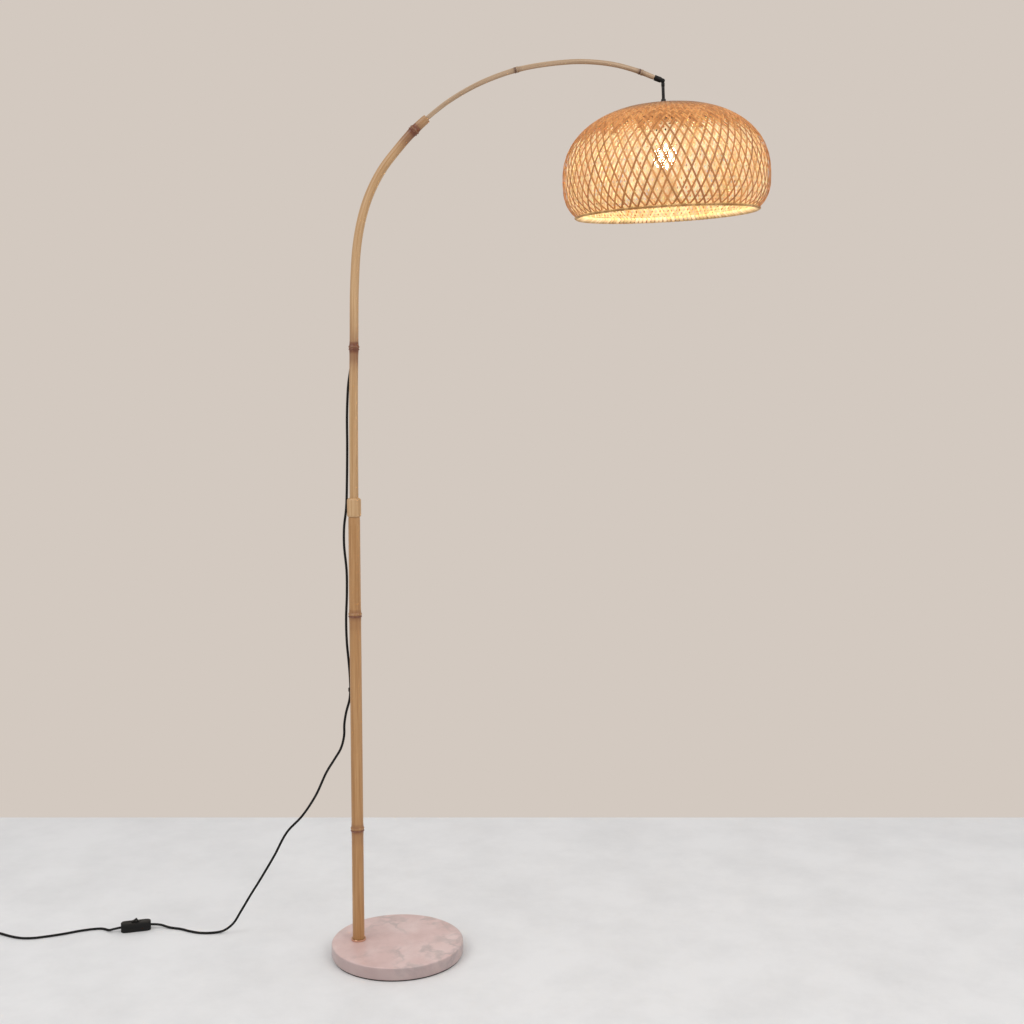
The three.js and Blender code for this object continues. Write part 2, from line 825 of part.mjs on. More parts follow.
function makeHolderBody() {
  const spigot = capRadius - capWall - gap;
  const seatRadius = socketRadius + socketWall / 4;
  return turned([
    [seatRadius, -bodyTop],
    [spigot, -bodyTop],
    [spigot, -capMouth - gap],
    [capRadius, -capMouth - gap],
    [capRadius, -capMouth - capWall],
    [bodyMouthRadius, -capMouth - capShoulder],
    [bodyMouthRadius, -bodyMouth],
    [socketRadius, -bodyMouth],
    [socketRadius, -insertBottom - gap],
    [seatRadius, -insertBottom - gap],
  ], turnedSides);
}

addPiece(headGroup, 'lampholder_cap', makeHolderCap(), blackPlastic);
addPiece(headGroup, 'lampholder_body', makeHolderBody(), blackPlastic);
addPiece(headGroup, 'lampholder_insert', rod(socketRadius - gap / 2, -insertBottom, -insertTop, turnedSides), ceramic);
addPiece(
  headGroup, 'centre_contact',
  rod(contactRadius, -contactTop - contactHeight, -contactTop, smallSides), brass,
);

// Bulb: threaded cap, blown glass open at its neck, stem and filaments inside

function makeScrewCap() {
  const profile = [
    [0, -screwTop],
    [screwTipRadius, -screwTop],
    [screwRadius - threadDepth, -screwTop - screwShoulder],
  ];
  const threadStart = screwTop + screwShoulder;
  const pitch = (screwEnd - threadStart) / (threadTurns + 1);
  for (let i = 0; i < threadTurns; i++) {
    const crest = threadStart + pitch * (i + 0.5);
    profile.push([screwRadius, -crest], [screwRadius - threadDepth, -crest - pitch / 2]);
  }
  const inner = neckGlassRadius + gap;
  profile.push(
    [screwRadius - threadDepth, -screwEnd],
    [inner, -screwEnd],
    [inner, -threadStart - screwWall],
    [0, -threadStart - screwWall],
  );
  return turned(profile, glassSides);
}

const neckGlassTop = screwTop + screwShoulder + screwWall + gap;

function globeProfile(wall) {
  const radius = globeRadius - wall;
  const neck = neckGlassRadius - wall;
  const neckTurn = THREE.MathUtils.degToRad(38);
  const steps = 7;
  const points = [[neck, -neckGlassTop], [neck, -screwEnd - overrun]];
  for (let i = 0; i <= steps; i++) {
    const turn = THREE.MathUtils.lerp(neckTurn, Math.PI, i / steps);
    const onAxis = i === steps;
    points.push([onAxis ? 0 : radius * Math.sin(turn), -globeDrop + radius * Math.cos(turn)]);
  }
  return points;
}

addPiece(headGroup, 'bulb_cap', makeScrewCap(), steel);
addPiece(
  headGroup, 'bulb_glass',
  turned([...globeProfile(0).reverse(), ...globeProfile(glassWall)], glassSides), glass,
);
addPiece(headGroup, 'bulb_stem', makeBulbStem(), glass);
addPiece(headGroup, 'bulb_filaments', makeFilaments(), glow);

function makeBulbStem() {
  const top = neckGlassTop + gap;
  return turned([
    [0, -top], [stemFootRadius, -top], [stemFootRadius, -top - screwWall],
    [stemRadius, -top - stemFootRadius], [stemRadius, -top - stemLength], [0, -top - stemLength],
  ], smallSides);
}

function makeFilaments() {
  const top = 2 * filamentRadius - neckGlassTop - gap - stemLength;
  const bottom = top - filamentLength;
  const rods = Array.from({ length: filamentCount }, (_, i) => {
    const turn = (2 * Math.PI * i) / filamentCount;
    const filament = rod(filamentRadius, bottom, top, smallSides / 2);
    return filament.translate(filamentCircle * Math.cos(turn), filamentCircle * Math.sin(turn), 0);
  });
  const outer = filamentCircle + filamentRadius;
  const carrier = pipe(outer, stemRadius + gap, top - 2 * filamentRadius, top, smallSides);
  return geometryOf(joinAll([...rods, carrier].map(solidOf)));
}

// Woven shade: both layers are one closed lattice each, with a diamond opening in every cell

// Outline of a layer as evenly sampled points, each with its inward direction
function layerOutline(radius, crown, widest, end, endRadius) {
  const skirtShare = (1 - (endRadius / radius) ** skirtPower) ** (1 / skirtPower);
  const skirtReach = (end - widest) / skirtShare;
  const points = [];
  for (let i = 0; i <= profileSamples; i++) {
    const turn = (Math.PI / 2) * (i / profileSamples);
    const across = radius * Math.sin(turn) ** (2 / crownPower);
    const below = (widest - crown) * Math.max(Math.cos(turn), 0) ** (2 / crownPower);
    points.push(new THREE.Vector2(across, -(widest - below)));
  }
  for (let i = 1; i <= profileSamples; i++) {
    const drop = widest + ((end - widest) * i) / profileSamples;
    const share = ((drop - widest) / skirtReach) ** skirtPower;
    points.push(new THREE.Vector2(radius * (1 - share) ** (1 / skirtPower), -drop));
  }
  const runs = [0];
  for (let i = 1; i < points.length; i++) runs.push(runs[i - 1] + points[i].distanceTo(points[i - 1]));
  const length = runs[runs.length - 1];
  const at = (run) => {
    let i = runs.findIndex((value) => value >= run);
    i = THREE.MathUtils.clamp(i < 0 ? runs.length - 1 : i, 1, runs.length - 1);
    const share = (run - runs[i - 1]) / (runs[i] - runs[i - 1]);
    const point = points[i - 1].clone().lerp(points[i], share);
    const along = points[i].clone().sub(points[i - 1]).normalize();
    return { point, inward: new THREE.Vector2(along.y, -along.x) };
  };
  return { length, at };
}

function wovenLayer(outline, holeRadius) {
  const across = weaveAcross;
  const rows = weaveRows;
  const start = denseCrownRun;
  const end = outline.length - rimBandRun;
  const rowRun = (end - start) / rows;
  const cell = (2 * Math.PI) / across;
  const positions = [];
  const faces = [];
  const corners = new Map();

  // One corner on the outer face and its partner on the inner face
  function corner(run, turn) {
    const key = `${run.toFixed(3)} ${(((turn / cell) % across + across) % across).toFixed(3)}`;
    if (!corners.has(key)) {
      const { point, inward } = outline.at(run);
      const under = point.clone().addScaledVector(inward, weaveThickness);
      corners.set(key, positions.length / 3);
      for (const { x, y } of [point, under]) {
        positions.push(x * Math.cos(turn), x * Math.sin(turn), y);
      }
    }
    return corners.get(key);
  }
  function skin(...loop) {
    for (let i = 1; i + 1 < loop.length; i++) {
      faces.push(loop[0], loop[i], loop[i + 1]);
      faces.push(loop[0] + 1, loop[i + 1] + 1, loop[i] + 1);
    }
  }
  // The wall of an opening, whose corners are named in the order of its skin's edge
  function wall(...loop) {
    for (let i = 0; i < loop.length; i++) {
      const a = loop[i];
      const b = loop[(i + 1) % loop.length];
      faces.push(a, b, b + 1, a, b + 1, a + 1);
    }
  }
  function crossing(row, place) {
    const run = start + rowRun * row;
    const turn = cell * (place + (row % 2) / 2);
    const halfRun = stripShare * rowRun;
    const halfTurn = (stripShare * cell) / 2;
    return {
      top: row > 0 ? corner(run - halfRun, turn) : null,
      foot: row < rows ? corner(run + halfRun, turn) : null,
      left: corner(run, turn - halfTurn),
      right: corner(run, turn + halfTurn),
      turn,
    };
  }
  for (let row = 0; row <= rows; row++) {
    const shift = row % 2;
    for (let place = 0; place < across; place++) {
      const here = crossing(row, place);
      const beside = crossing(row, place + 1);
      if (row < rows) {
        const downRight = crossing(row + 1, place + shift);
        const downLeft = crossing(row + 1, place + shift - 1);
        skin(here.foot, downRight.left, downRight.top, here.right);
        skin(here.left, downLeft.top, downLeft.right, here.foot);
      }
      const loop = [here.top, here.left, here.foot, here.right].filter((entry) => entry !== null);
      skin(...loop);
      const above = row > 0 ? crossing(row - 1, place + shift).foot : null;
      const below = row < rows ? crossing(row + 1, place + shift).top : null;
      wall(...[above, here.right, below, beside.left].filter((entry) => entry !== null));
    }
  }
  // Dense crown above the lattice, then the plain band below it
  const crownRuns = [holeRadius, crownPlateRadius, ...crownRingShares.map((share) => share * start)];
  const bandTurn = cell * ((rows % 2) / 2);
  for (let place = 0; place < across; place++) {
    const here = crossing(0, place);
    const beside = crossing(0, place + 1);
    const last = crownRuns[crownRuns.length - 1];
    skin(corner(last, here.turn), here.left, here.right);
    skin(corner(last, here.turn), here.right, beside.left, corner(last, beside.turn));
    for (let i = 1; i < crownRuns.length; i++) {
      const [upper, lower] = [crownRuns[i - 1], crownRuns[i]];
      skin(
        corner(upper, here.turn), corner(lower, here.turn),
        corner(lower, beside.turn), corner(upper, beside.turn),
      );
    }
    const [a, b] = [corner(crownRuns[0], here.turn), corner(crownRuns[0], beside.turn)];
    faces.push(a, b, b + 1, a, b + 1, a + 1);
    const foot = crossing(rows, place);
    const next = crossing(rows, place + 1);
    const edge = corner(outline.length, foot.turn);
    const nextEdge = corner(outline.length, next.turn);
    skin(edge, foot.right, foot.left);
    skin(edge, nextEdge, next.left, foot.right);
    faces.push(nextEdge, edge, edge + 1, nextEdge, edge + 1, nextEdge + 1);
  }
  return bodyFrom(positions, faces);
}

const outerOutline = layerOutline(shadeRadius, crownDrop, widestDrop, weaveEndDrop, mouthRadius);
const innerOutline = layerOutline(
  shadeRadius - layerSpacing, innerCrownDrop, widestDrop,
  weaveEndDrop - innerEndRise, mouthRadius - layerSpacing,
);
const crownHole = grommetNeckRadius + gap;

// Plate under the crown, dished as the inner layer is
function makeCrownPlate() {
  const sag = innerOutline.at(crownHole).point.y - innerOutline.at(crownPlateRadius).point.y;
  const bore = tubeRadius + gap;
  const under = crownPlateThickness;
  return turned([
    [bore, -plateTop], [bore, -plateTop - under], [capRadius - capShoulder, -plateTop - under],
    [crownPlateRadius - gap, -plateTop - sag - under], [crownPlateRadius - gap, -plateTop - sag],
    [crownHole, -plateTop],
  ], weaveAcross);
}

addPiece(headGroup, 'crown_plate', makeCrownPlate(), blackMetal);
addPiece(headGroup, 'shade_outer_weave', wovenLayer(outerOutline, crownHole), weave);
addPiece(headGroup, 'shade_inner_weave', wovenLayer(innerOutline, crownHole), innerWeave);

// Rim: a channel bound over the ends of both layers
function makeRim() {
  const runs = [rimHeight, 0];
  const outside = runs.map((run) => outerOutline.at(outerOutline.length - run));
  const inside = runs.map((run) => innerOutline.at(innerOutline.length - run));
  const offset = ({ point, inward }, distance) => {
    const moved = point.clone().addScaledVector(inward, distance);
    return [moved.x, moved.y];
  };
  const floor = -weaveEndDrop - 2 * gap;
  const under = floor - rimWall;
  const innerDepth = weaveThickness + rimClearance;
  const outerFoot = offset(outside[1], -rimClearance);
  const innerFoot = offset(inside[1], innerDepth);
  return turned([
    ...outside.map((place) => offset(place, -rimClearance - rimWall)),
    [outerFoot[0], under],
    [innerFoot[0], under],
    ...inside.map((place) => offset(place, innerDepth + rimWall)).reverse(),
    ...inside.map((place) => offset(place, innerDepth)),
    [innerFoot[0], floor],
    [outerFoot[0], floor],
    ...outside.map((place) => offset(place, -rimClearance)).reverse(),
  ], weaveAcross);
}

addPiece(headGroup, 'shade_rim', makeRim(), weave);

// Supply cord: route points chosen by hand, [x, y, z]

const cordStart = outletTop.clone().addScaledVector(outletDirection, cordRadius);
const outlet = outletTop.clone().addScaledVector(outletDirection, outletRun);

const cordRoute = [
  [-87.4, 11.2, 1126],
  [-89.2, 8.8, 1096],
  [-90.2, 6.6, 1060],
  [-90.2, 5.8, 1010],
  [-91.4, 6.2, 945],
  [-93.6, 6.8, 888],
  [-98, 6.2, 850],
  [-98.4, 6.2, 815],
  [-94.2, 7, 765],
  [-94.2, 7.2, 720],
  [-96.2, 7.4, 670],
  [-95.4, 7.8, 625],
  [-91.8, 8.8, 580],
  [-90.2, 9.6, 551],
  [clipX, clipY, clipHeight],
  [-92, 11, 509],
  [-99, 14.5, 484],
  [-103.5, 19, 459],
  [-105, 23.5, 434],
  [-112, 27.5, 408],
  [-126.6, 31.8, 383],
  [-142.4, 36.1, 357],
  [-166.3, 44.8, 306],
  [-195.2, 52.1, 262],
  [-226.8, 58, 227],
  [-255.5, 66.9, 174],
  [-286.6, 76, 121],
  [-308.8, 82, 85],
  [-330, 88, 49],
  [-347, 93, 22],
  [-368, 95, 6],
  [-392, 92.5, 2.6],
  [-416, 93, 2.5],
  [-438, 101, 2.5],
  [-460, 112.5, 2.5],
  [-485, 119.5, 2.9],
  [-505, 123.8, 6.8],
];

const switchGroup = new THREE.Group();
switchGroup.position.set(switchX, switchY, 0);
switchGroup.rotation.z = switchTurn;
lamp.add(switchGroup);

const switchAxisHeight = switchHeight / 2;
const seamHalf = gap / 2;

function switchPoint(along) {
  return new THREE.Vector3(
    switchX + along * Math.cos(switchTurn), switchY + along * Math.sin(switchTurn), switchAxisHeight,
  );
}

const switchInlet = switchPoint(switchLength / 2 - switchCordReach);
const switchOutlet = switchPoint(-switchLength / 2 + switchCordReach);
const approach = 4 * cordRadius;

addPiece(
  lamp, 'supply_cord',
  cordTube([
    cordStart,
    outlet,
    outlet.clone().addScaledVector(outletDirection, outletStraight),
    ...cordRoute.map((place) => new THREE.Vector3(...place)),
    switchPoint(switchLength / 2),
    switchInlet,
  ], cordRadius, cordSides, cordSteps), blackRubber,
);

// Clip: a saddle round the cord, with its nail in the culm

function clipDirection() {
  return new THREE.Vector3(clipPoint.x - poleX, clipPoint.y, 0).normalize();
}

function makeClip() {
  const saddle = pipe(clipBore + clipWall, clipBore, clipHeight - clipLength / 2, clipHeight + clipLength / 2, turnedSides);
  const reach = clipBore + clipWall;
  const lug = block(0, 2 * clipWall, -reach - 3 * nailRadius, -clipBore, -clipLength / 2, clipLength / 2);
  const direction = clipDirection();
  const turn = Math.atan2(direction.y, direction.x);
  saddle.translate(clipPoint.x, clipPoint.y, 0);
  const standOff = lowerTaper(clipHeight - culmFoot) + gap;
  lug.rotateZ(turn).translate(poleX + direction.x * standOff, direction.y * standOff, clipHeight);
  const pole = rod(standOff, clipHeight - clipLength, clipHeight + clipLength, fineSides).translate(poleX, 0, 0);
  const channel = rod(clipBore, clipHeight - clipLength, clipHeight + clipLength, turnedSides);
  channel.translate(clipPoint.x, clipPoint.y, 0);
  const whole = solidOf(saddle).add(solidOf(lug));
  return geometryOf(cutAll(whole, [pole, channel, nail(nailRadius + gap, nailDepth)].map(solidOf)));
}

// The nail runs level, beside the saddle and toward the culm's axis
function nail(radius, depth) {
  const direction = clipDirection();
  const turn = Math.atan2(direction.y, direction.x);
  const standOff = lowerTaper(clipHeight - culmFoot) + gap;
  const side = -clipBore - clipWall - nailRadius;
  const shank = rod(radius, -depth, 2 * clipWall + gap, smallSides / 2).rotateY(Math.PI / 2);
  shank.translate(0, side, 0).rotateZ(turn);
  return shank.translate(poleX + direction.x * standOff, direction.y * standOff, clipHeight);
}

function nailHole() {
  return solidOf(nail(nailRadius + gap, nailDepth + gap));
}

addPiece(lamp, 'cord_clip', makeClip(), blackPlastic);
addPiece(lamp, 'clip_nail', nail(nailRadius, nailDepth), steel);

// Switch: two shells, rocker on its pin, terminals and screws

function switchOutline(inset) {
  const half = switchLength / 2 - inset;
  const side = switchWidth / 2 - inset;
  const nose = switchWidth / 3 - inset;
  const shape = new THREE.Shape();
  shape.moveTo(-half + side, -side);
  shape.lineTo(half - side, -side);
  shape.quadraticCurveTo(half, -side, half, -nose / 2);
  shape.lineTo(half, nose / 2);
  shape.quadraticCurveTo(half, side, half - side, side);
  shape.lineTo(-half + side, side);
  shape.quadraticCurveTo(-half, side, -half, nose / 2);
  shape.lineTo(-half, -nose / 2);
  shape.quadraticCurveTo(-half, -side, -half + side, -side);
  return shape;
}

function easedShell(bottom, top) {
  const slab = new THREE.ExtrudeGeometry(switchOutline(switchEase), {
    depth: top - bottom - 2 * switchEase, bevelEnabled: true, bevelSize: switchEase,
    bevelThickness: switchEase, bevelSegments: 1, curveSegments: 4,
  });
  return slab.translate(0, 0, bottom + switchEase);
}

const wellHalfLength = rockerLength / 2 + gap;
const wellHalfWidth = rockerWidth / 2 + gap;
const rockerAxisHeight = switchHeight - rockerPinSeat;
const lowerWellFloor = switchAxisHeight - terminalHeight - gap;

function cordChannels() {
  const half = switchLength / 2;
  const reach = switchCordReach + gap;
  const bore = cordRadius + channelClearance;
  return [-1, 1].map((side) => {
    const channel = rod(bore, half - reach, half + overrun, smallSides).rotateY(Math.PI / 2);
    return solidOf(channel.rotateZ(side < 0 ? Math.PI : 0).translate(0, 0, switchAxisHeight));
  });
}

function screwPlaces() {
  const place = switchLength / 2 - switchScrewSetback;
  return [-place, place];
}

// Each screw stands clear of the cord, at opposite sides of the two ends
function screwShift(place) {
  return (Math.sign(place) * switchWidth) / 4;
}

function makeUpperShell() {
  const whole = solidOf(easedShell(switchAxisHeight + seamHalf - switchEase, switchHeight));
  const under = switchAxisHeight + seamHalf;
  const trim = block(-switchLength, switchLength, -switchWidth, switchWidth, -switchHeight, under);
  const well = block(-wellHalfLength, wellHalfLength, -wellHalfWidth, wellHalfWidth, 0, switchHeight + overrun);
  const pinHole = acrossY(rod(rockerPinRadius + gap, -wellHalfWidth - rockerPinSeat - gap, wellHalfWidth + rockerPinSeat + gap, smallSides));
  pinHole.translate(0, 0, rockerAxisHeight);
  const threads = screwPlaces().map((place) => (
    rod(switchScrewRadius + gap, 0, switchAxisHeight + switchHeight / 4 + gap, smallSides).translate(place, screwShift(place), 0)
  ));
  return geometryOf(cutAll(whole, [...[trim, well, pinHole, ...threads].map(solidOf), ...cordChannels()]));
}

function makeLowerShell() {
  const whole = solidOf(easedShell(0, switchAxisHeight - seamHalf + switchEase));
  const over = switchAxisHeight - seamHalf;
  const trim = block(-switchLength, switchLength, -switchWidth, switchWidth, over, switchHeight);
  const well = block(-wellHalfLength, wellHalfLength, -wellHalfWidth, wellHalfWidth, lowerWellFloor, switchHeight);
  const holes = screwPlaces().flatMap((place) => {
    const shank = rod(switchScrewRadius + gap, -overrun, switchHeight, smallSides);
    const head = rod(switchScrewHeadRadius + gap, -overrun, switchScrewHeadHeight + 2 * gap, smallSides);
    return [shank, head].map((hole) => hole.translate(place, screwShift(place), 0));
  });
  return geometryOf(cutAll(whole, [...[trim, well, ...holes].map(solidOf), ...cordChannels()]));
}

function makeRocker() {
  const half = rockerLength / 2 - gap;
  const stand = rockerPinSeat + rockerStand;
  const shape = new THREE.Shape();
  shape.moveTo(-half, stand - rockerStand / 2);
  shape.quadraticCurveTo(-half / 2, stand, 0, stand - rockerStand / 2);
  shape.quadraticCurveTo(half / 2, stand, half, stand - rockerStand / 2);
  shape.lineTo(half, 0);
  shape.lineTo(half / 3, -rockerDepth);
  shape.lineTo(-half / 3, -rockerDepth);
  shape.lineTo(-half, 0);
  const slab = plateAcrossY(shape, rockerWidth / 2, 3);
  const hole = acrossY(rod(rockerPinRadius + gap, -rockerWidth, rockerWidth, smallSides));
  return geometryOf(solidOf(slab).subtract(solidOf(hole)));
}

addPiece(switchGroup, 'switch_upper_shell', makeUpperShell(), blackPlastic);
addPiece(switchGroup, 'switch_lower_shell', makeLowerShell(), blackPlastic);
const rocker = addPiece(switchGroup, 'switch_rocker', makeRocker(), blackPlastic);
rocker.position.z = rockerAxisHeight;
rocker.rotation.y = rockerTilt;
const rockerPin = addPiece(
  switchGroup, 'rocker_pin',
  acrossY(rod(rockerPinRadius, -wellHalfWidth - rockerPinSeat, wellHalfWidth + rockerPinSeat, smallSides)), steel,
);
rockerPin.position.z = rockerAxisHeight;
[-1, 1].forEach((side, i) => {
  addPiece(switchGroup, `switch_terminal_${i + 1}`, makeTerminal(side), brass);
});
screwPlaces().forEach((place, i) => {
  addPiece(switchGroup, `switch_screw_${i + 1}`, makeSwitchScrew(place), steel);
});

function makeTerminal(side) {
  const bottom = lowerWellFloor + gap;
  const middle = (side * terminalSpacing) / 2;
  return block(
    middle - terminalLength / 2, middle + terminalLength / 2,
    -terminalWidth / 2, terminalWidth / 2, bottom, bottom + terminalHeight,
  );
}

function makeSwitchScrew(place) {
  const headBottom = gap;
  const headTop = headBottom + switchScrewHeadHeight;
  const screwTop = switchAxisHeight + switchHeight / 4;
  return turned([
    [0, headBottom], [switchScrewHeadRadius, headBottom], [switchScrewHeadRadius, headTop],
    [switchScrewRadius, headTop], [switchScrewRadius, screwTop], [0, screwTop],
  ], smallSides).translate(place, screwShift(place), 0);
}

// Coil: one unbroken tube that spirals in on the floor, climbs, and spirals out again

const cordDiameter = 2 * cordRadius;
const coilLowZ = coilTieFloorGap + coilTieThickness + gap + cordRadius;
const coilHighZ = coilLowZ + cordDiameter + coilLayerGap;
const coilHalfTurns = coilTurns / 2;
const coilOuterRadius = coilInnerRadius + coilPitch * coilHalfTurns;
const plugAxisHeight = plugThickness / 2 + coilTieFloorGap;

function coilPoint(turns) {
  const radius = coilInnerRadius + coilPitch * Math.abs(turns - coilHalfTurns);
  const climb = THREE.MathUtils.smoothstep(turns, coilHalfTurns - 0.25, coilHalfTurns + 0.25);
  const angle = Math.PI / 2 + 2 * Math.PI * turns;
  return new THREE.Vector3(
    coilX + radius * Math.cos(angle), coilY + radius * Math.sin(angle),
    THREE.MathUtils.lerp(coilLowZ, coilHighZ, climb),
  );
}

function coilRoute() {
  const steps = Math.round(coilTurns * coilStepsPerTurn);
  const turns = Array.from({ length: steps + 1 }, (_, i) => (coilTurns * i) / steps);
  const loops = turns.map(coilPoint);
  const entry = loops[0].clone();
  entry.x += cordDiameter;
  const tail = [0.3, 0.5, 0.7].map((share) => {
    const point = loops[steps].clone();
    point.y -= coilTailLength * share;
    const fall = THREE.MathUtils.smoothstep(share, 0, 0.8);
    point.z = THREE.MathUtils.lerp(coilHighZ, plugAxisHeight, fall);
    return point;
  });
  const last = loops[steps].clone();
  last.y -= coilTailLength - cordDiameter;
  last.z = plugAxisHeight;
  const exit = last.clone();
  exit.y -= cordDiameter;
  return [entry, ...loops, ...tail, last, exit];
}

// A tube through given points, whose end faces are square to its end directions
function tubeThrough(points, radius, sides) {
  const positions = [];
  const rings = [];
  let sideways = null;
  points.forEach((point, i) => {
    const before = points[Math.max(i - 1, 0)];
    const after = points[Math.min(i + 1, points.length - 1)];
    const along = after.clone().sub(before).normalize();
    if (!sideways) sideways = new THREE.Vector3(0, 0, 1).cross(along).normalize();
    sideways.addScaledVector(along, -sideways.dot(along)).normalize();
    const upward = along.clone().cross(sideways);
    const ring = [];
    for (let k = 0; k < sides; k++) {
      const turn = (2 * Math.PI * k) / sides;
      const corner = point.clone();
      corner.addScaledVector(sideways, radius * Math.cos(turn));
      corner.addScaledVector(upward, radius * Math.sin(turn));
      ring.push(positions.length / 3);
      positions.push(corner.x, corner.y, corner.z);
    }
    rings.push(ring);
  });
  const triangles = [];
  const capEnds = [points[0], points[points.length - 1]].map((point) => {
    positions.push(point.x, point.y, point.z);
    return [positions.length / 3 - 1];
  });
  stitchRings(triangles, capEnds[0], rings[0]);
  for (let j = 0; j + 1 < rings.length; j++) stitchRings(triangles, rings[j], rings[j + 1]);
  stitchRings(triangles, rings[rings.length - 1], capEnds[1]);
  return bodyFrom(positions, triangles);
}

// Least clearance of the coil to itself, between points more than a third of a turn apart
function leastSelfGap(route) {
  const apart = coilStepsPerTurn / 3;
  let least = Infinity;
  for (let i = 0; i + 1 < route.length; i++) {
    for (let j = i + apart; j + 1 < route.length; j++) {
      const other = new THREE.Line3(route[j], route[j + 1]);
      for (const share of [0, 0.25, 0.5, 0.75]) {
        const point = route[i].clone().lerp(route[i + 1], share);
        const nearest = other.closestPointToPoint(point, true, new THREE.Vector3());
        least = Math.min(least, nearest.distanceTo(point));
      }
    }
  }
  return least - cordDiameter;
}

const coilLine = coilRoute();
console.log(`least gap between the coil's turns: ${leastSelfGap(coilLine).toFixed(2)} mm`);
addPiece(lamp, 'cord_coil', tubeThrough(coilLine, cordRadius, coilSides), blackRubber);

// Lead from the switch along the floor to the coil
const coilEntry = coilLine[0];
const leadRoute = [
  [-597, 99, 7.2],
  [-606, 104.5, 3.4],
  [-623, 114, 2.6],
  [-640, 112.5, 2.5],
  [-666, 103, 2.5],
  [-694, 88, 2.5],
  [-722, 76, 2.5],
  [-748, 67.5, 2.5],
  [-771, 66.5, 2.5],
  [-795, 74, 2.5],
  [-820, 87, 2.6],
  [-845, 99.5, 3.2],
];

addPiece(
  lamp, 'plug_lead',
  cordTube([
    switchOutlet,
    switchPoint(-switchLength / 2),
    ...leadRoute.map((place) => new THREE.Vector3(...place)),
    coilEntry.clone().add(new THREE.Vector3(approach, 0, 0)),
    coilEntry.clone().add(new THREE.Vector3(gap, 0, 0)),
  ], cordRadius, cordSides, leadSteps), blackRubber,
);

// Tie round the coil's bundle
function makeCoilTie() {
  const inner = coilInnerRadius - cordRadius - gap - coilPitch / 2;
  const outer = coilOuterRadius + cordRadius + gap;
  const bottom = coilLowZ - cordRadius - gap;
  const top = coilHighZ + cordRadius + gap;
  const wall = coilTieThickness;
  const shape = new THREE.Shape();
  shape.moveTo(inner - wall, bottom - wall);
  shape.lineTo(outer + wall, bottom - wall);
  shape.lineTo(outer + wall, top + wall);
  shape.lineTo(inner - wall, top + wall);
  const hole = new THREE.Path();
  hole.moveTo(inner, bottom);
  hole.lineTo(inner, top);
  hole.lineTo(outer, top);
  hole.lineTo(outer, bottom);
  shape.holes.push(hole);
  return plateAcrossY(shape, coilTieWidth / 2, 1).rotateZ(coilTieTurn).translate(coilX, coilY, 0);
}

addPiece(lamp, 'coil_tie', makeCoilTie(), blackRubber);

// Plug: it lies past the coil's tail, pins toward -Y

const tailEnd = coilLine[coilLine.length - 1];
const plugGroup = new THREE.Group();
plugGroup.position.set(tailEnd.x, tailEnd.y - gap, plugAxisHeight);
lamp.add(plugGroup);

function towardMinusY(geometry) {
  return geometry.rotateX(Math.PI / 2);
}

function makeRelief() {
  const rings = 4;
  const step = reliefLength / (2 * rings);
  const profile = [[0, 0]];
  for (let i = 0; i < 2 * rings; i++) {
    const share = i / (2 * rings);
    const radius = THREE.MathUtils.lerp(reliefEndRadius, reliefRootRadius, share);
    const groove = i % 2 === 0 ? 0 : gap;
    profile.push([radius - groove, step * i], [radius - groove, step * (i + 1)]);
  }
  profile.push([0, reliefLength]);
  return towardMinusY(turned(profile, smallSides));
}

function makePlugBody() {
  const half = plugWidth / 2 - plugEase;
  const back = plugBackWidth / 2 - plugEase;
  const start = plugEase;
  const end = plugLength - plugEase;
  const shape = new THREE.Shape();
  shape.moveTo(-back, -start);
  shape.quadraticCurveTo(-half, -start - plugLength / 8, -half, -end / 2);
  shape.lineTo(-half, -end);
  shape.lineTo(half, -end);
  shape.lineTo(half, -end / 2);
  shape.quadraticCurveTo(half, -start - plugLength / 8, back, -start);
  const slab = new THREE.ExtrudeGeometry(shape, {
    depth: plugThickness - 2 * plugEase, bevelEnabled: true, bevelSize: plugEase,
    bevelThickness: plugEase, bevelSegments: 2, curveSegments: 5,
  });
  slab.translate(0, -reliefLength - gap, -plugThickness / 2 + plugEase);
  const holes = [-1, 1].map((side) => solidOf(plugPin(side, plugPinRadius + gap, gap)));
  return geometryOf(cutAll(solidOf(slab), holes));
}

function plugPin(side, radius, extra) {
  const root = reliefLength + gap + plugLength;
  const pin = towardMinusY(rod(radius, root - plugPinSeat - extra, root + plugPinLength, smallSides));
  return pin.translate((side * plugPinSpacing) / 2, 0, 0);
}

addPiece(plugGroup, 'plug_relief', makeRelief(), blackRubber);
addPiece(plugGroup, 'plug_body', makePlugBody(), blackPlastic);
[-1, 1].forEach((side, i) => {
  addPiece(plugGroup, `plug_pin_${i + 1}`, plugPin(side, plugPinRadius, 0), steel);
});

export default lamp;
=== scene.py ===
"""Looks of a bamboo arc floor lamp: woven shade, whole culms, marble foot, cord, switch and plug.

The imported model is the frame. Lengths are in metres, and +Z is up.
"""

import bisect
import functools
import math
import random

import bpy
from mathutils import Matrix, Vector


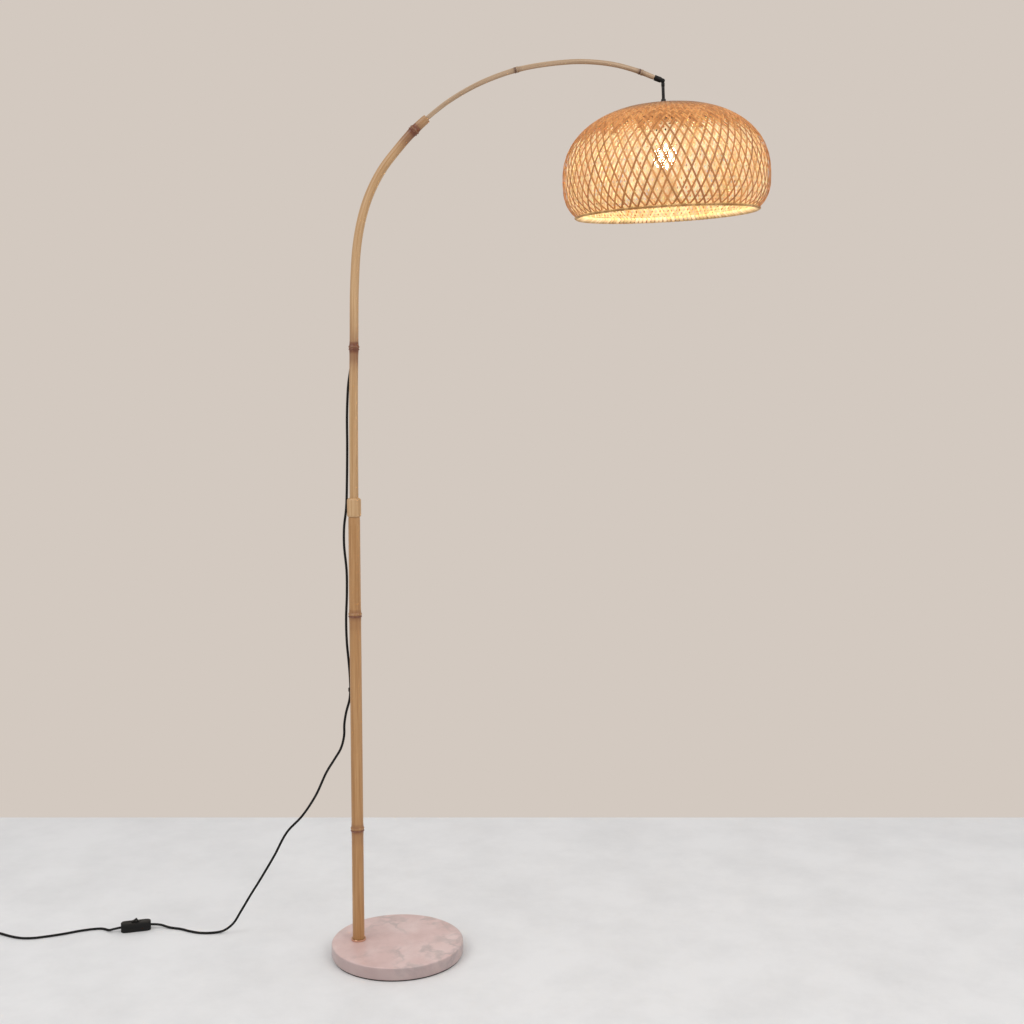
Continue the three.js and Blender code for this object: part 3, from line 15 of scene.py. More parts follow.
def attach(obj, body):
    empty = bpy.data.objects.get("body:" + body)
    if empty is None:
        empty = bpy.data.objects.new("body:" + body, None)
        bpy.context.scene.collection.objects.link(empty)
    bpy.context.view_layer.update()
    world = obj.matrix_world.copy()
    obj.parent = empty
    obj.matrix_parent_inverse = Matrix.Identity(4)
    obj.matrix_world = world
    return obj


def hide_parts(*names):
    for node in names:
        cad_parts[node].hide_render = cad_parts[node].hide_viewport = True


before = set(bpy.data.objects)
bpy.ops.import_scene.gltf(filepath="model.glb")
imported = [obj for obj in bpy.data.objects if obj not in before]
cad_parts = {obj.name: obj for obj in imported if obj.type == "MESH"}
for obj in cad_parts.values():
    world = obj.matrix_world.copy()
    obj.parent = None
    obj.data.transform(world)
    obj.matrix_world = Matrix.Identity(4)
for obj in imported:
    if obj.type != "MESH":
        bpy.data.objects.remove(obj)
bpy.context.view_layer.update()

bl_info = {
    "name": "Bamboo Arc Floor Lamp",
    "version": (1, 0, 0),
    "blender": (4, 5, 0),
    "location": "View3D > Sidebar > Lamp",
    "description": "Builds a bamboo arc floor lamp with a double woven shade on a marble foot",
    "category": "Add Mesh",
}

MM = 0.001

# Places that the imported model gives
POLE_X = -77.5 * MM
CULM_FOOT = 28.3 * MM
COLLAR_TOP = 907.3 * MM
LOWER_CULM_TOP = 871 * MM
BEND_START = 1100 * MM
ARCH_REACH = 587.3 * MM
ARCH_RISE = 626.8 * MM
BEND_SHARES = [
    (0.0022, 0), (0.0056, 0.1755), (0.0089, 0.335), (0.0179, 0.4547), (0.0358, 0.5424),
    (0.0604, 0.611), (0.1005, 0.682), (0.1592, 0.7522), (0.2035, 0.7977), (0.2477, 0.8352),
    (0.3141, 0.8831), (0.3908, 0.9253), (0.4674, 0.9564), (0.5491, 0.9796), (0.6462, 0.9944),
    (0.7415, 1), (0.8369, 0.9923), (0.9152, 0.9737), (0.9711, 0.9539), (1, 0.9438),
]
SHADE_TILT = math.radians(2.7)
SHADE_ROLL = math.radians(3.1)

# Runs along the culms' line, measured from the lower culm's foot
MIDDLE_START = COLLAR_TOP - 17.7 * MM - CULM_FOOT
MIDDLE_END = MIDDLE_START + 776 * MM
SLEEVE_SETBACK = 4.3 * MM
ARM_END_GAP = 1.7 * MM
ARM_SPIGOT = 11.4 * MM
LOWER_NODES = [253 * MM - CULM_FOOT, 679 * MM - CULM_FOOT]
MIDDLE_NODES = [1194 * MM - CULM_FOOT, MIDDLE_END - 34 * MM]
ARM_NODE_SHARES = [0.4191, 0.9391]

# Cord: its route from the outlet to the switch and on to the coil, in millimetres
CORD_DIAMETER = 4.8 * MM
CORD_ROUTE = [
    (-87.4, 11.2, 1126), (-89.2, 8.8, 1096), (-90.2, 6.6, 1060), (-90.2, 5.8, 1010),
    (-91.4, 6.2, 945), (-93.6, 6.8, 888), (-98, 6.2, 850), (-98.4, 6.2, 815),
    (-94.2, 7, 765), (-94.2, 7.2, 720), (-96.2, 7.4, 670), (-95.4, 7.8, 625),
    (-91.8, 8.8, 580), (-90.2, 9.6, 551), (-89.8, 10, 530), (-92, 11, 509),
    (-99, 14.5, 484), (-103.5, 19, 459), (-105, 23.5, 434), (-112, 27.5, 408),
    (-126.6, 31.8, 383), (-142.4, 36.1, 357), (-166.3, 44.8, 306), (-195.2, 52.1, 262),
    (-226.8, 58, 227), (-255.5, 66.9, 174), (-286.6, 76, 121), (-308.8, 82, 85),
    (-330, 88, 49), (-347, 93, 22), (-368, 95, 6), (-392, 92.5, 2.6),
    (-416, 93, 2.5), (-438, 101, 2.5), (-460, 112.5, 2.5), (-485, 119.5, 2.9),
    (-505, 123.8, 6.8),
]
LEAD_ROUTE = [
    (-597, 99, 7.2), (-606, 104.5, 3.4), (-623, 114, 2.6), (-640, 112.5, 2.5),
    (-666, 103, 2.5), (-694, 88, 2.5), (-722, 76, 2.5), (-748, 67.5, 2.5),
    (-771, 66.5, 2.5), (-795, 74, 2.5), (-820, 87, 2.6), (-845, 99.5, 3.2),
]
OUTLET_HEIGHT = 1196 * MM
OUTLET_SLANT = math.radians(20)
OUTLET_TURN = math.radians(125)
OUTLET_RUN = 26 * MM
OUTLET_STRAIGHT = 20 * MM
SWITCH_PLACE = Vector((-552.5, 112, 9.25)) * MM
SWITCH_TURN = math.radians(16.4)
SWITCH_HALF = 30 * MM
SWITCH_CORD_REACH = 5 * MM
ROCKER_AXIS = 16.5 * MM
ROCKER_REST = math.radians(8)
COIL_CENTRE = Vector((-880, 70, 0)) * MM
COIL_INNER = 19.2 * MM
COIL_PITCH = 5.4 * MM
COIL_TURNS = 6.25
COIL_LOW = 3.9 * MM
COIL_HIGH = 9.2 * MM
COIL_TAIL = 40 * MM
PLUG_AXIS = 7 * MM

# Bulb: its middle lies below the shade's pivot, and its neck ends at an angle from the top
GLOBE_DROP = 139 * MM
GLOBE = Vector((0, 0, -GLOBE_DROP))
GLOBE_RADIUS = 22.5 * MM
GLOBE_NECK = math.radians(38)

# Sections of the turned pieces, as (radius, height) in millimetres
FOOT_SECTION = [(0, 2), (130, 2), (130, 28), (0, 28)]
PAD_SECTION = [(0, 0), (127, 0), (127, 1.7), (0, 1.7)]
RING_SECTION = [(12.4, 28.3), (14.7, 28.3), (14.7, 31.9), (12.4, 31.9), (12.4, 28.3)]
COLLAR_SECTION = [
    (9, 871.3), (12.5, 871.3), (13.5, 874.3), (13.5, 904.3), (10.5, 907.3), (9, 907.3), (9, 871.3),
]
CROWN_COLLAR_SECTION = [(2.7, -37), (4.5, -37), (4.5, -34.4), (3.2, -32.2), (2.7, -32.2), (2.7, -37)]
BULB_NECK_SECTION = [(11.4, -72), (11.6, -99), (12.2, -110), (13.9, -121.3)]

# Side view of the rocker's ridge, as (along, height) from the rocker's axis in millimetres
RIDGE_SECTION = [(-6.5, 3.2), (-2.8, 6.2), (-0.8, 8.6), (0.8, 8.6), (2.8, 6.2), (6.5, 3.2)]
RIDGE_LENGTH = 7.6

# The drop tube is drawn thicker than its solid
DROP_TUBE_WIDEN = 1.18

# Camera, as the photograph gives it, with its focal length in pixels of a picture 1024 wide
CAMERA_PLACE = (0.227, -2.5, 1.099)
CAMERA_TILT = math.radians(85)
FOCAL_PIXELS = 1301
PICTURE_PIXELS = 1024
SENSOR_WIDTH = 36


# Helpers for selecting, placing and shaping pieces

def clear_selection():
    """Leaves edit mode and deselects everything."""
    active = bpy.context.object
    if active is not None and active.mode != "OBJECT":
        bpy.ops.object.mode_set(mode="OBJECT")
    bpy.ops.object.select_all(action="DESELECT")


def activate(piece):
    """Makes piece the only selected object."""
    clear_selection()
    piece.select_set(True)
    bpy.context.view_layer.objects.active = piece


def settle(piece, matrix=None):
    """Puts a piece at its place and keeps that place in its mesh."""
    if matrix is not None:
        piece.matrix_world = matrix @ piece.matrix_world
    activate(piece)
    bpy.ops.object.transform_apply(location=True, rotation=True, scale=True)


def smooth(piece, degrees=32):
    """Smooth shading that keeps edges sharper than the given angle."""
    activate(piece)
    bpy.ops.object.shade_smooth_by_angle(angle=math.radians(degrees))


def apply_modifiers(piece):
    """Applies all of a piece's modifiers in order."""
    activate(piece)
    for modifier in list(piece.modifiers):
        bpy.ops.object.modifier_apply(modifier=modifier.name)


def soften(piece, width, segments=2, degrees=35):
    """Rounds a piece's sharp edges to the given width."""
    bevel = piece.modifiers.new("Eased edges", "BEVEL")
    bevel.width = width
    bevel.segments = segments
    bevel.limit_method = "ANGLE"
    bevel.angle_limit = math.radians(degrees)
    apply_modifiers(piece)
    smooth(piece)


def turned(name, profile, steps=64):
    """Spins a profile of (radius, height) about the upright line through the origin."""
    clear_selection()
    bpy.ops.mesh.primitive_plane_add(size=1, location=(0, 0, 0))
    piece = bpy.context.object
    piece.name = name
    bpy.ops.object.mode_set(mode="EDIT")
    bpy.ops.mesh.select_all(action="SELECT")
    bpy.ops.mesh.merge(type="CENTER")
    bpy.ops.transform.translate(value=(profile[0][0], 0, profile[0][1]))
    for (radius, height), (next_radius, next_height) in zip(profile, profile[1:]):
        step = (next_radius - radius, 0, next_height - height)
        bpy.ops.mesh.extrude_region_move(TRANSFORM_OT_translate={"value": step})
    bpy.ops.mesh.select_all(action="SELECT")
    bpy.ops.mesh.spin(steps=steps, angle=2 * math.pi, center=(0, 0, 0), axis=(0, 0, 1))
    bpy.ops.mesh.select_all(action="SELECT")
    bpy.ops.mesh.remove_doubles(threshold=0.000002)
    bpy.ops.mesh.normals_make_consistent(inside=False)
    bpy.ops.object.mode_set(mode="OBJECT")
    return piece


def eased(profile, ease, steps=4):
    """Rounds every inner corner of a profile with an arc of about the given size."""
    rounded = [profile[0]]
    for before, corner, after in zip(profile, profile[1:], profile[2:]):
        corner = Vector(corner)
        back = Vector(before) - corner
        ahead = Vector(after) - corner
        reach = min(ease, 0.45 * back.length, 0.45 * ahead.length)
        start = corner + back.normalized() * reach
        end = corner + ahead.normalized() * reach
        for i in range(steps + 1):
            share = i / steps
            point = start * (1 - share) ** 2 + corner * 2 * share * (1 - share) + end * share ** 2
            rounded.append(tuple(point))
    rounded.append(profile[-1])
    return rounded


def metres(section):
    """A section given in millimetres, in metres."""
    return [(radius * MM, height * MM) for radius, height in section]


def add_object(name, data):
    """An object with the given data, linked to the scene."""
    piece = bpy.data.objects.new(name, data)
    bpy.context.scene.collection.objects.link(piece)
    return piece


def mark(piece, name, values, kind="FLOAT", field="value"):
    """Gives each vertex of a piece a value of its own, which a material reads by name."""
    layer = piece.data.attributes.new(name, kind, "POINT")
    layer.data.foreach_set(field, values)


def copy_of_node(name, node):
    """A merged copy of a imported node, as the start of a finer piece."""
    piece = add_object(name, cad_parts[node].data.copy())
    piece.data.materials.clear()
    piece.hide_render = False
    activate(piece)
    bpy.ops.object.mode_set(mode="EDIT")
    bpy.ops.mesh.select_all(action="SELECT")
    bpy.ops.mesh.remove_doubles(threshold=0.00001)
    bpy.ops.mesh.dissolve_limited(angle_limit=math.radians(1))
    bpy.ops.object.mode_set(mode="OBJECT")
    return piece


def eased_node(node, width, material, body, slot, widen=1):
    """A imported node's finer copy, its edges rounded to the given width in mm; widen makes it
    thicker about the shade's axis."""
    piece = copy_of_node(node + "_eased", node)
    piece.data.transform(HEAD @ Matrix.Diagonal((widen, widen, 1, 1)) @ HEAD.inverted())
    soften(piece, width * MM)
    return dress(piece, material, body, slot, node)


def smooth_line(points, step):
    """Points about one step apart on a centripetal Catmull-Rom line through the given ones."""
    points = [Vector(point) for point in points]
    first = points[0] * 2 - points[1]
    last = points[-1] * 2 - points[-2]
    ends = [first] + points + [last]
    line = []
    for i in range(1, len(ends) - 2):
        p0, p1, p2, p3 = ends[i - 1:i + 3]
        dt0 = (p1 - p0).length ** 0.5
        dt1 = (p2 - p1).length ** 0.5
        dt2 = (p3 - p2).length ** 0.5
        t1 = ((p1 - p0) / dt0 - (p2 - p0) / (dt0 + dt1) + (p2 - p1) / dt1) * dt1
        t2 = ((p2 - p1) / dt1 - (p3 - p1) / (dt1 + dt2) + (p3 - p2) / dt2) * dt1
        count = max(1, round((p2 - p1).length / step))
        for k in range(count):
            t = k / count
            a = p1 * (2 * t ** 3 - 3 * t ** 2 + 1) + t1 * (t ** 3 - 2 * t ** 2 + t)
            line.append(a + p2 * (3 * t ** 2 - 2 * t ** 3) + t2 * (t ** 3 - t ** 2))
    line.append(points[-1])
    return line


def stretch_at(runs, run):
    """Index of the stretch of a line that holds a run, and the share of it at that run."""
    low = min(max(bisect.bisect_right(runs, run) - 1, 0), len(runs) - 2)
    return low, ramp_up(run, runs[low], runs[low + 1] - runs[low])


def ramp_up(value, start, reach):
    """0 up to the start, 1 from a reach beyond it, and a straight rise between."""
    return min(max((value - start) / reach, 0), 1)


def soft_step(share):
    """A share with a slow start and a slow end."""
    return share * share * (3 - 2 * share)


def join_all(name, pieces):
    """Joins pieces into the first of them."""
    clear_selection()
    for piece in pieces:
        piece.select_set(True)
    bpy.context.view_layer.objects.active = pieces[0]
    bpy.ops.object.join()
    piece = bpy.context.object
    piece.name = name
    return piece


def ribbon(name, pairs, thickness, offset=0, doubled=None):
    """A flat strip through pairs of points on its two edges, with a thickness. Doubled says how
    far each pair lies over or under another strip, from 0 to 1."""
    clear_selection()
    bpy.ops.mesh.primitive_grid_add(x_subdivisions=1, y_subdivisions=len(pairs) - 1, size=1)
    piece = bpy.context.object
    piece.name = name
    for i, pair in enumerate(pairs):
        for k in (0, 1):
            piece.data.vertices[2 * i + k].co = pair[k]
    if doubled:
        mark(piece, "doubled", [share for share in doubled for k in (0, 1)])
    solid = piece.modifiers.new("Strip thickness", "SOLIDIFY")
    solid.thickness = thickness
    solid.offset = offset
    apply_modifiers(piece)
    return piece


def curve_through(name, line, radius, radii=None, sides=8):
    """A round curve through a line of points, with a radius of its own at each where given."""
    curve = bpy.data.curves.new(name, "CURVE")
    curve.dimensions = "3D"
    curve.bevel_depth = 1 if radii else radius
    curve.bevel_resolution = sides // 2 - 2
    curve.use_fill_caps = True
    curve.twist_mode = "MINIMUM"
    spline = curve.splines.new("POLY")
    spline.points.add(len(line) - 1)
    for i, point in enumerate(line):
        spline.points[i].co = (point.x, point.y, point.z, 1)
        spline.points[i].radius = radii[i] if radii else 1
    spline.use_smooth = True
    return add_object(name, curve)


class Spine:
    """The culms' common middle line, upright from the foot and bent over to the shade's pivot."""

    def __init__(self):
        middle = (CULM_FOOT + LOWER_CULM_TOP) / 2
        points = [Vector((POLE_X, 0, height)) for height in (CULM_FOOT, middle, LOWER_CULM_TOP)]
        for reach, rise in BEND_SHARES:
            x = POLE_X + reach * ARCH_REACH
            points.append(Vector((x, 0, BEND_START + rise * ARCH_RISE)))
        self.line = smooth_line(points, 1 * MM)
        self.runs = [0]
        for a, b in zip(self.line, self.line[1:]):
            self.runs.append(self.runs[-1] + (b - a).length)
        self.length = self.runs[-1]

    def at(self, run):
        """Point at a run."""
        i, share = stretch_at(self.runs, run)
        return self.line[i].lerp(self.line[i + 1], share)

    def along(self, run):
        """Direction at a run."""
        i, _ = stretch_at(self.runs, run)
        return (self.line[i + 1] - self.line[i]).normalized()


spine = Spine()
PIVOT = spine.at(spine.length)
ARM_END = spine.length - SLEEVE_SETBACK - ARM_END_GAP
ARM_SHOULDER = ARM_END - ARM_SPIGOT
ARM_NODES = [MIDDLE_END + share * (ARM_SHOULDER - MIDDLE_END) for share in ARM_NODE_SHARES]
ARM_TURN = math.atan2(-spine.along(spine.length).z, spine.along(spine.length).x)
SLEEVE = (
    Matrix.Translation(PIVOT) @ Matrix.Rotation(ARM_TURN, 4, "Y") @ Matrix.Rotation(SHADE_ROLL, 4, "X")
)
HEAD = SLEEVE @ Matrix.Rotation(-ARM_TURN - SHADE_TILT, 4, "Y")
OUTLET_DIRECTION = Vector((
    math.sin(OUTLET_SLANT) * math.cos(OUTLET_TURN),
    math.sin(OUTLET_SLANT) * math.sin(OUTLET_TURN),
    -math.cos(OUTLET_SLANT),
))
OUTLET_TOP = spine.at(OUTLET_HEIGHT - CULM_FOOT)
OUTLET = OUTLET_TOP + OUTLET_DIRECTION * OUTLET_RUN


# Materials

def linear(colour):
    """Linear RGBA of an sRGB hex colour such as c9a06c."""
    channels = [int(colour[i:i + 2], 16) / 255 for i in (0, 2, 4)]
    return tuple(c / 12.92 if c <= 0.04045 else ((c + 0.055) / 1.055) ** 2.4 for c in channels) + (1,)


def connect(node, links):
    """Links sources to a node's sockets; a source that is a node gives its first output."""
    for socket, source in links.items():
        if isinstance(source, bpy.types.Node):
            source = source.outputs[0]
        node.id_data.links.new(source, node.inputs[socket])


def add_node(tree, kind, settings=None, links=None, stops=None, **properties):
    """Adds a node with its properties, its sockets' values, its incoming links and, on a colour
    ramp, its stops as (place, colour)."""
    node = tree.nodes.new(kind)
    for name, value in properties.items():
        setattr(node, name, value)
    for socket, value in (settings or {}).items():
        node.inputs[socket].default_value = value
    connect(node, links or {})
    if stops:
        elements = node.color_ramp.elements
        elements.remove(elements[-1])
        for i, (place, colour) in enumerate(stops):
            element = elements[0] if i == 0 else elements.new(place)
            element.position = place
            element.color = linear(colour)
    return node


def new_material(name, **shader_values):
    """A material with a Principled shader, whose fixed values sit on its own sockets, and the
    function that adds nodes to it."""
    material = bpy.data.materials.new(name)
    material.use_nodes = True
    shader = material.node_tree.nodes["Principled BSDF"]
    for socket, value in shader_values.items():
        shader.inputs[socket.replace("_", " ").title().replace("Ior", "IOR")].default_value = value
    return material, functools.partial(add_node, material.node_tree), shader


def paint(piece, material):
    """Gives a piece one material."""
    piece.data.materials.clear()
    piece.data.materials.append(material)


def dress(piece, material, body, slot, *nodes):
    """Paints a piece, hands it to its body and hides the imported nodes that it stands for."""
    paint(piece, material)
    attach(piece, body)
    if nodes:
        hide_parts(*nodes)
    return piece


def bamboo_material(name, light, middle, dark, burnt):
    """Whole bamboo culm, steamed, flamed at its nodes and clear lacquered: long fine fibre
    streaks under a satin film, red-brown at the nodes."""
    material, add, shader = new_material(name, coat_weight=0.25, coat_roughness=0.3)
    grain = add("ShaderNodeAttribute", attribute_name="grain").outputs["Vector"]
    scorch = add("ShaderNodeAttribute", attribute_name="scorch").outputs["Fac"]
    # Fibre bundles about 1 mm wide and 70 mm long, broad streaks of weathered skin 5 mm by 200 mm,
    # and the 12 mm patches of the flame's uneven edge
    noises = []
    for scale, detail, roughness in (
        ((900, 900, 14), 3, 0.6), ((200, 200, 5), 2, 0.5), ((80, 80, 60), 2, 0.5),
    ):
        scaled = add("ShaderNodeMapping", {"Scale": scale}, {"Vector": grain})
        noises.append(add(
            "ShaderNodeTexNoise", {"Scale": 1, "Detail": detail, "Roughness": roughness},
            {"Vector": scaled},
        ))
    fine, broad, patch = noises
    streaks = add("ShaderNodeMix", {"Factor": 0.45}, {2: fine, 3: broad}, data_type="FLOAT")
    skin = add(
        "ShaderNodeValToRGB", links={"Fac": streaks},
        stops=[(0.3, dark), (0.5, middle), (0.68, light)],
    )
    wobble = add("ShaderNodeMath", {1: 0.5}, {0: patch}, operation="SUBTRACT")
    uneven = add("ShaderNodeMath", {1: 0.5}, {0: wobble, 2: scorch}, operation="MULTIPLY_ADD")
    kept = add("ShaderNodeMath", links={0: uneven, 1: scorch}, operation="MULTIPLY", use_clamp=True)
    colour = add("ShaderNodeMix", {7: linear(burnt)}, {"Factor": kept, 6: skin}, data_type="RGBA")
    gloss = add("ShaderNodeMapRange", {"To Min": 0.38, "To Max": 0.56}, {"Value": streaks})
    bump = add("ShaderNodeBump", {"Strength": 0.35, "Distance": 0.2 * MM}, {"Height": fine})
    connect(shader, {"Base Color": colour.outputs[2], "Roughness": gloss, "Normal": bump})
    return material


def strip_material(name, pale, middle, dark, glow, dim):
    """Split bamboo strip, planed and boiled: silky fibres along the strip, each strip its own tan,
    thin enough to let warm light through, which is painted as a glow from the lit attribute, and a
    dull brown of dust and painted shade where the dust_and_shade attribute says."""
    material, add, shader = new_material(
        name, roughness=0.5, subsurface_weight=0.3, subsurface_scale=0.8 * MM,
        subsurface_radius=(1, 0.5, 0.2),
    )
    own, shine, dust_and_shade = (
        add("ShaderNodeAttribute", attribute_name=attribute).outputs["Fac"]
        for attribute in ("strip", "lit", "dust_and_shade")
    )
    # Fibres 0.4 mm wide on a strip 3.5 mm wide, and tone that changes every 60 mm or so
    along = add("ShaderNodeUVMap", uv_map="UVMap")
    place = add("ShaderNodeMapping", {"Scale": (9, 14, 1)}, {"Vector": along})
    shifted = add("ShaderNodeCombineXYZ", links={"X": own, "Z": own})
    spread = add("ShaderNodeVectorMath", {"Scale": 40}, {0: shifted}, operation="SCALE")
    apart = add("ShaderNodeVectorMath", links={0: place, 1: spread}, operation="ADD")
    fibres = add("ShaderNodeTexNoise", {"Scale": 1, "Detail": 3, "Roughness": 0.6}, {"Vector": apart})
    tone = add("ShaderNodeMix", {"Factor": 0.5}, {2: fibres, 3: own}, data_type="FLOAT")
    colour = add(
        "ShaderNodeValToRGB", links={"Fac": tone},
        stops=[(0.2, dark), (0.5, middle), (0.8, pale)],
    )
    # Dust and painted shade: the strips turn a dull brown where the dust_and_shade attribute says, on
    # the crown's top and on the inner strips under the close crown
    skin = add("ShaderNodeMix", {7: linear("7b604b")}, {"Factor": dust_and_shade, 6: colour}, data_type="RGBA")
    # The painted glow of the bulb's light through the strip: a thicker strip lets less light through,
    # and a redder one
    warmth = add("ShaderNodeValToRGB", links={"Fac": tone}, stops=[(0.3, dim), (0.62, glow)])
    bump = add("ShaderNodeBump", {"Strength": 0.3, "Distance": 0.1 * MM}, {"Height": fibres})
    connect(shader, {
        "Base Color": skin.outputs[2], "Emission Color": warmth, "Emission Strength": shine,
        "Normal": bump,
    })
    return material


def marble_material():
    """Pink marble, cut, ground and honed to a soft polish: dusty rose body with clouds,
    blurred grey veins and a few fine sharper ones."""
    material, add, shader = new_material("Honed pink marble", coat_weight=0.1, coat_roughness=0.15)
    place = add("ShaderNodeTexCoord")
    here = {"Vector": place.outputs["Object"]}
    # Clouds about 60 mm across
    clouds = add("ShaderNodeTexNoise", {"Scale": 16, "Detail": 5, "Roughness": 0.55}, here)
    body = add(
        "ShaderNodeValToRGB", links={"Fac": clouds},
        stops=[(0.3, "c6a7a1"), (0.5, "cfb2ac"), (0.7, "d8c0ba")],
    )
    # Veins wander: the place is pushed about by a noise 80 mm across
    sway = add("ShaderNodeTexNoise", {"Scale": 12, "Detail": 4}, here)
    pushed = add(
        "ShaderNodeMix", {"Factor": 0.12}, {4: here["Vector"], 5: sway.outputs["Color"]},
        data_type="VECTOR",
    ).outputs[1]
    blurred = add(
        "ShaderNodeTexNoise", {"Scale": 14, "Detail": 3, "Roughness": 0.5}, {"Vector": pushed},
    )
    band = add(
        "ShaderNodeValToRGB", links={"Fac": blurred},
        stops=[(0.43, "000000"), (0.5, "c4c4c4"), (0.57, "000000")],
    )
    # The veins come and go: they show only in patches about 90 mm across
    patches = add("ShaderNodeTexNoise", {"Scale": 11, "Detail": 2}, here)
    kept = add("ShaderNodeValToRGB", links={"Fac": patches}, stops=[(0.46, "000000"), (0.62, "ffffff")])
    shown = add("ShaderNodeMath", links={0: band, 1: kept}, operation="MULTIPLY")
    fine = add("ShaderNodeTexNoise", {"Scale": 30, "Detail": 6, "Roughness": 0.6}, {"Vector": pushed})
    line = add(
        "ShaderNodeValToRGB", links={"Fac": fine},
        stops=[(0.485, "000000"), (0.5, "646464"), (0.515, "000000")],
    )
    # Painted shade: the ground side is drawn greyer and darker than the honed top, as less light falls
    # on it
    facing = add("ShaderNodeSeparateXYZ", links={0: place.outputs["Normal"]})
    side = add(
        "ShaderNodeMapRange", {"From Min": 0.9, "From Max": 0.2, "To Min": 0, "To Max": 0.5},
        {"Value": facing.outputs["Z"]},
    )
    colour = body.outputs[0]
    # Mixes in the veins, the fine lines and the side's painted shade
    for share, vein_and_shade in ((shown, "9c908d"), (line, "8a7f7d"), (side, "8f8281")):
        colour = add(
            "ShaderNodeMix", {7: linear(vein_and_shade)}, {"Factor": share, 6: colour}, data_type="RGBA",
        ).outputs[2]
    gloss = add("ShaderNodeMapRange", {"To Min": 0.28, "To Max": 0.42}, {"Value": clouds})
    connect(shader, {"Base Color": colour, "Roughness": gloss})
    return material


def grained_material(name, colour, other, scale, roughness, depth, metallic=0.0, specular=0.5):
    """Moulded, cast or coated finish: two close tones and a fine grain of the given scale."""
    material, add, shader = new_material(name, metallic=metallic, specular_ior_level=specular)
    place = add("ShaderNodeTexCoord").outputs["Object"]
    grain = add("ShaderNodeTexNoise", {"Scale": scale, "Detail": 3}, {"Vector": place})
    tone = add("ShaderNodeValToRGB", links={"Fac": grain}, stops=[(0.35, colour), (0.65, other)])
    gloss = add(
        "ShaderNodeMapRange", {"To Min": roughness - 0.06, "To Max": roughness + 0.06},
        {"Value": grain},
    )
    bump = add("ShaderNodeBump", {"Strength": 0.3, "Distance": depth}, {"Height": grain})
    connect(shader, {"Base Color": tone, "Roughness": gloss, "Normal": bump})
    return material


# Bamboo culms

def near_node(distance, swell, burn, spread):
    """Radius added and scorch at a signed distance above a culm's node; burn is how long the
    flame was held to it and spread how far it reached."""
    # A sharp ridge below the node's groove, a wider one above it, and a flare of both sides
    lower = math.exp(-((distance + 2.2 * MM) / (1.1 * MM)) ** 2)
    upper = math.exp(-((distance - 2.6 * MM) / (2 * MM)) ** 2)
    flare = math.exp(-(distance / (10 * MM)) ** 2)
    added = swell * (0.75 * lower + 0.7 * upper + 0.35 * flare)
    # The flame's colour fades faster downward; the upper ridge stays pale, the groove goes dark
    fade = (15 * MM if distance < 0 else 22 * MM) * spread
    scorch = min(burn, 1.25) * math.exp(-abs(distance) / fade)
    line = math.exp(-((distance - 0.1 * MM) / (0.9 * MM)) ** 2)
    return added, min(1, max(scorch * 0.95 - 0.5 / burn * upper + 0.6 * line, 0))


def culm(name, start, end, radius_at, nodes, swell, burn, spread, end_scorch=0.0):
    """One culm along the spine, with its ridged nodes, and the attributes of its material. Its
    lower end may be scorched too."""
    # Rings every 6 mm, and every 0.5 mm within 12 mm of a node
    count = max(2, round((end - start) / (6 * MM)))
    runs = {round(start + (end - start) * i / count, 6) for i in range(count + 1)}
    for node in nodes:
        close = [node + i * 0.5 * MM for i in range(-24, 25)]
        runs |= {round(run, 6) for run in close if start < run < end}
    runs = sorted(runs)
    radii = []
    scorches = []
    for run in runs:
        radius = radius_at(run)
        burnt = 0
        for node in nodes:
            if abs(run - node) < 180 * MM:
                added, scorch = near_node(run - node, swell, burn, spread)
                radius += added
                burnt = max(burnt, scorch)
        burnt = max(burnt, end_scorch * math.exp(-(run - start) / (110 * MM)))
        radii.append(radius)
        scorches.append(burnt)
    # Eased ends
    radii[0] -= 0.5 * MM
    radii[-1] -= 0.5 * MM
    sides = 32
    piece = curve_through(name, [spine.at(run) for run in runs], 1, radii, sides)
    activate(piece)
    bpy.ops.object.convert(target="MESH")
    piece = bpy.context.object
    grain = []
    scorch = []
    for i in range(len(piece.data.vertices)):
        ring = min(i // sides, len(runs) - 1)
        turn = 2 * math.pi * (i % sides) / sides
        grain += [radii[ring] * math.cos(turn), radii[ring] * math.sin(turn), runs[ring]]
        scorch.append(scorches[ring])
    mark(piece, "grain", grain, "FLOAT_VECTOR", "vector")
    mark(piece, "scorch", scorch)
    smooth(piece, 60)
    return piece


def lower_radius(run):
    """The lower culm tapers from 11.7 mm to 11.3 mm."""
    return (11.7 - 0.4 * run / (LOWER_CULM_TOP - CULM_FOOT)) * MM


def middle_radius(run):
    """The middle culm tapers from 8.5 mm to 8.3 mm."""
    return (8.5 - 0.2 * (run - MIDDLE_START) / (MIDDLE_END - MIDDLE_START)) * MM


def arm_radius(run):
    """The arm swells from its socket to its middle and thins again to its tip."""
    share = (run - MIDDLE_END) / (ARM_SHOULDER - MIDDLE_END)
    rise = ramp_up(share, 0, 0.35)
    fall = ramp_up(share, 0.35, 0.65)
    return (4.1 + 0.7 * rise - 0.3 * fall) * MM


# Woven shade

CROWN_POWER = 2.27
SKIRT_POWER = 2.9

# How far a strip rises and dips, how deep its middle lies under the outline, and the share of the
# light that a second strip takes away
STRIP_LIFT = 0.35 * MM
STRIP_INSET = 0.9 * MM
LOST_AT_CROSSING = 0.55

# Strips beside the long ones in the close crown, and the lengths by which they miss its edge in mm
DENSE_SPACING = 3.4 * MM
DENSE_WIDTH = 3.2 * MM
DENSE_LENGTHS = (-34, 4, -14, 10, -24, -6, -30, 8, -20, 0)

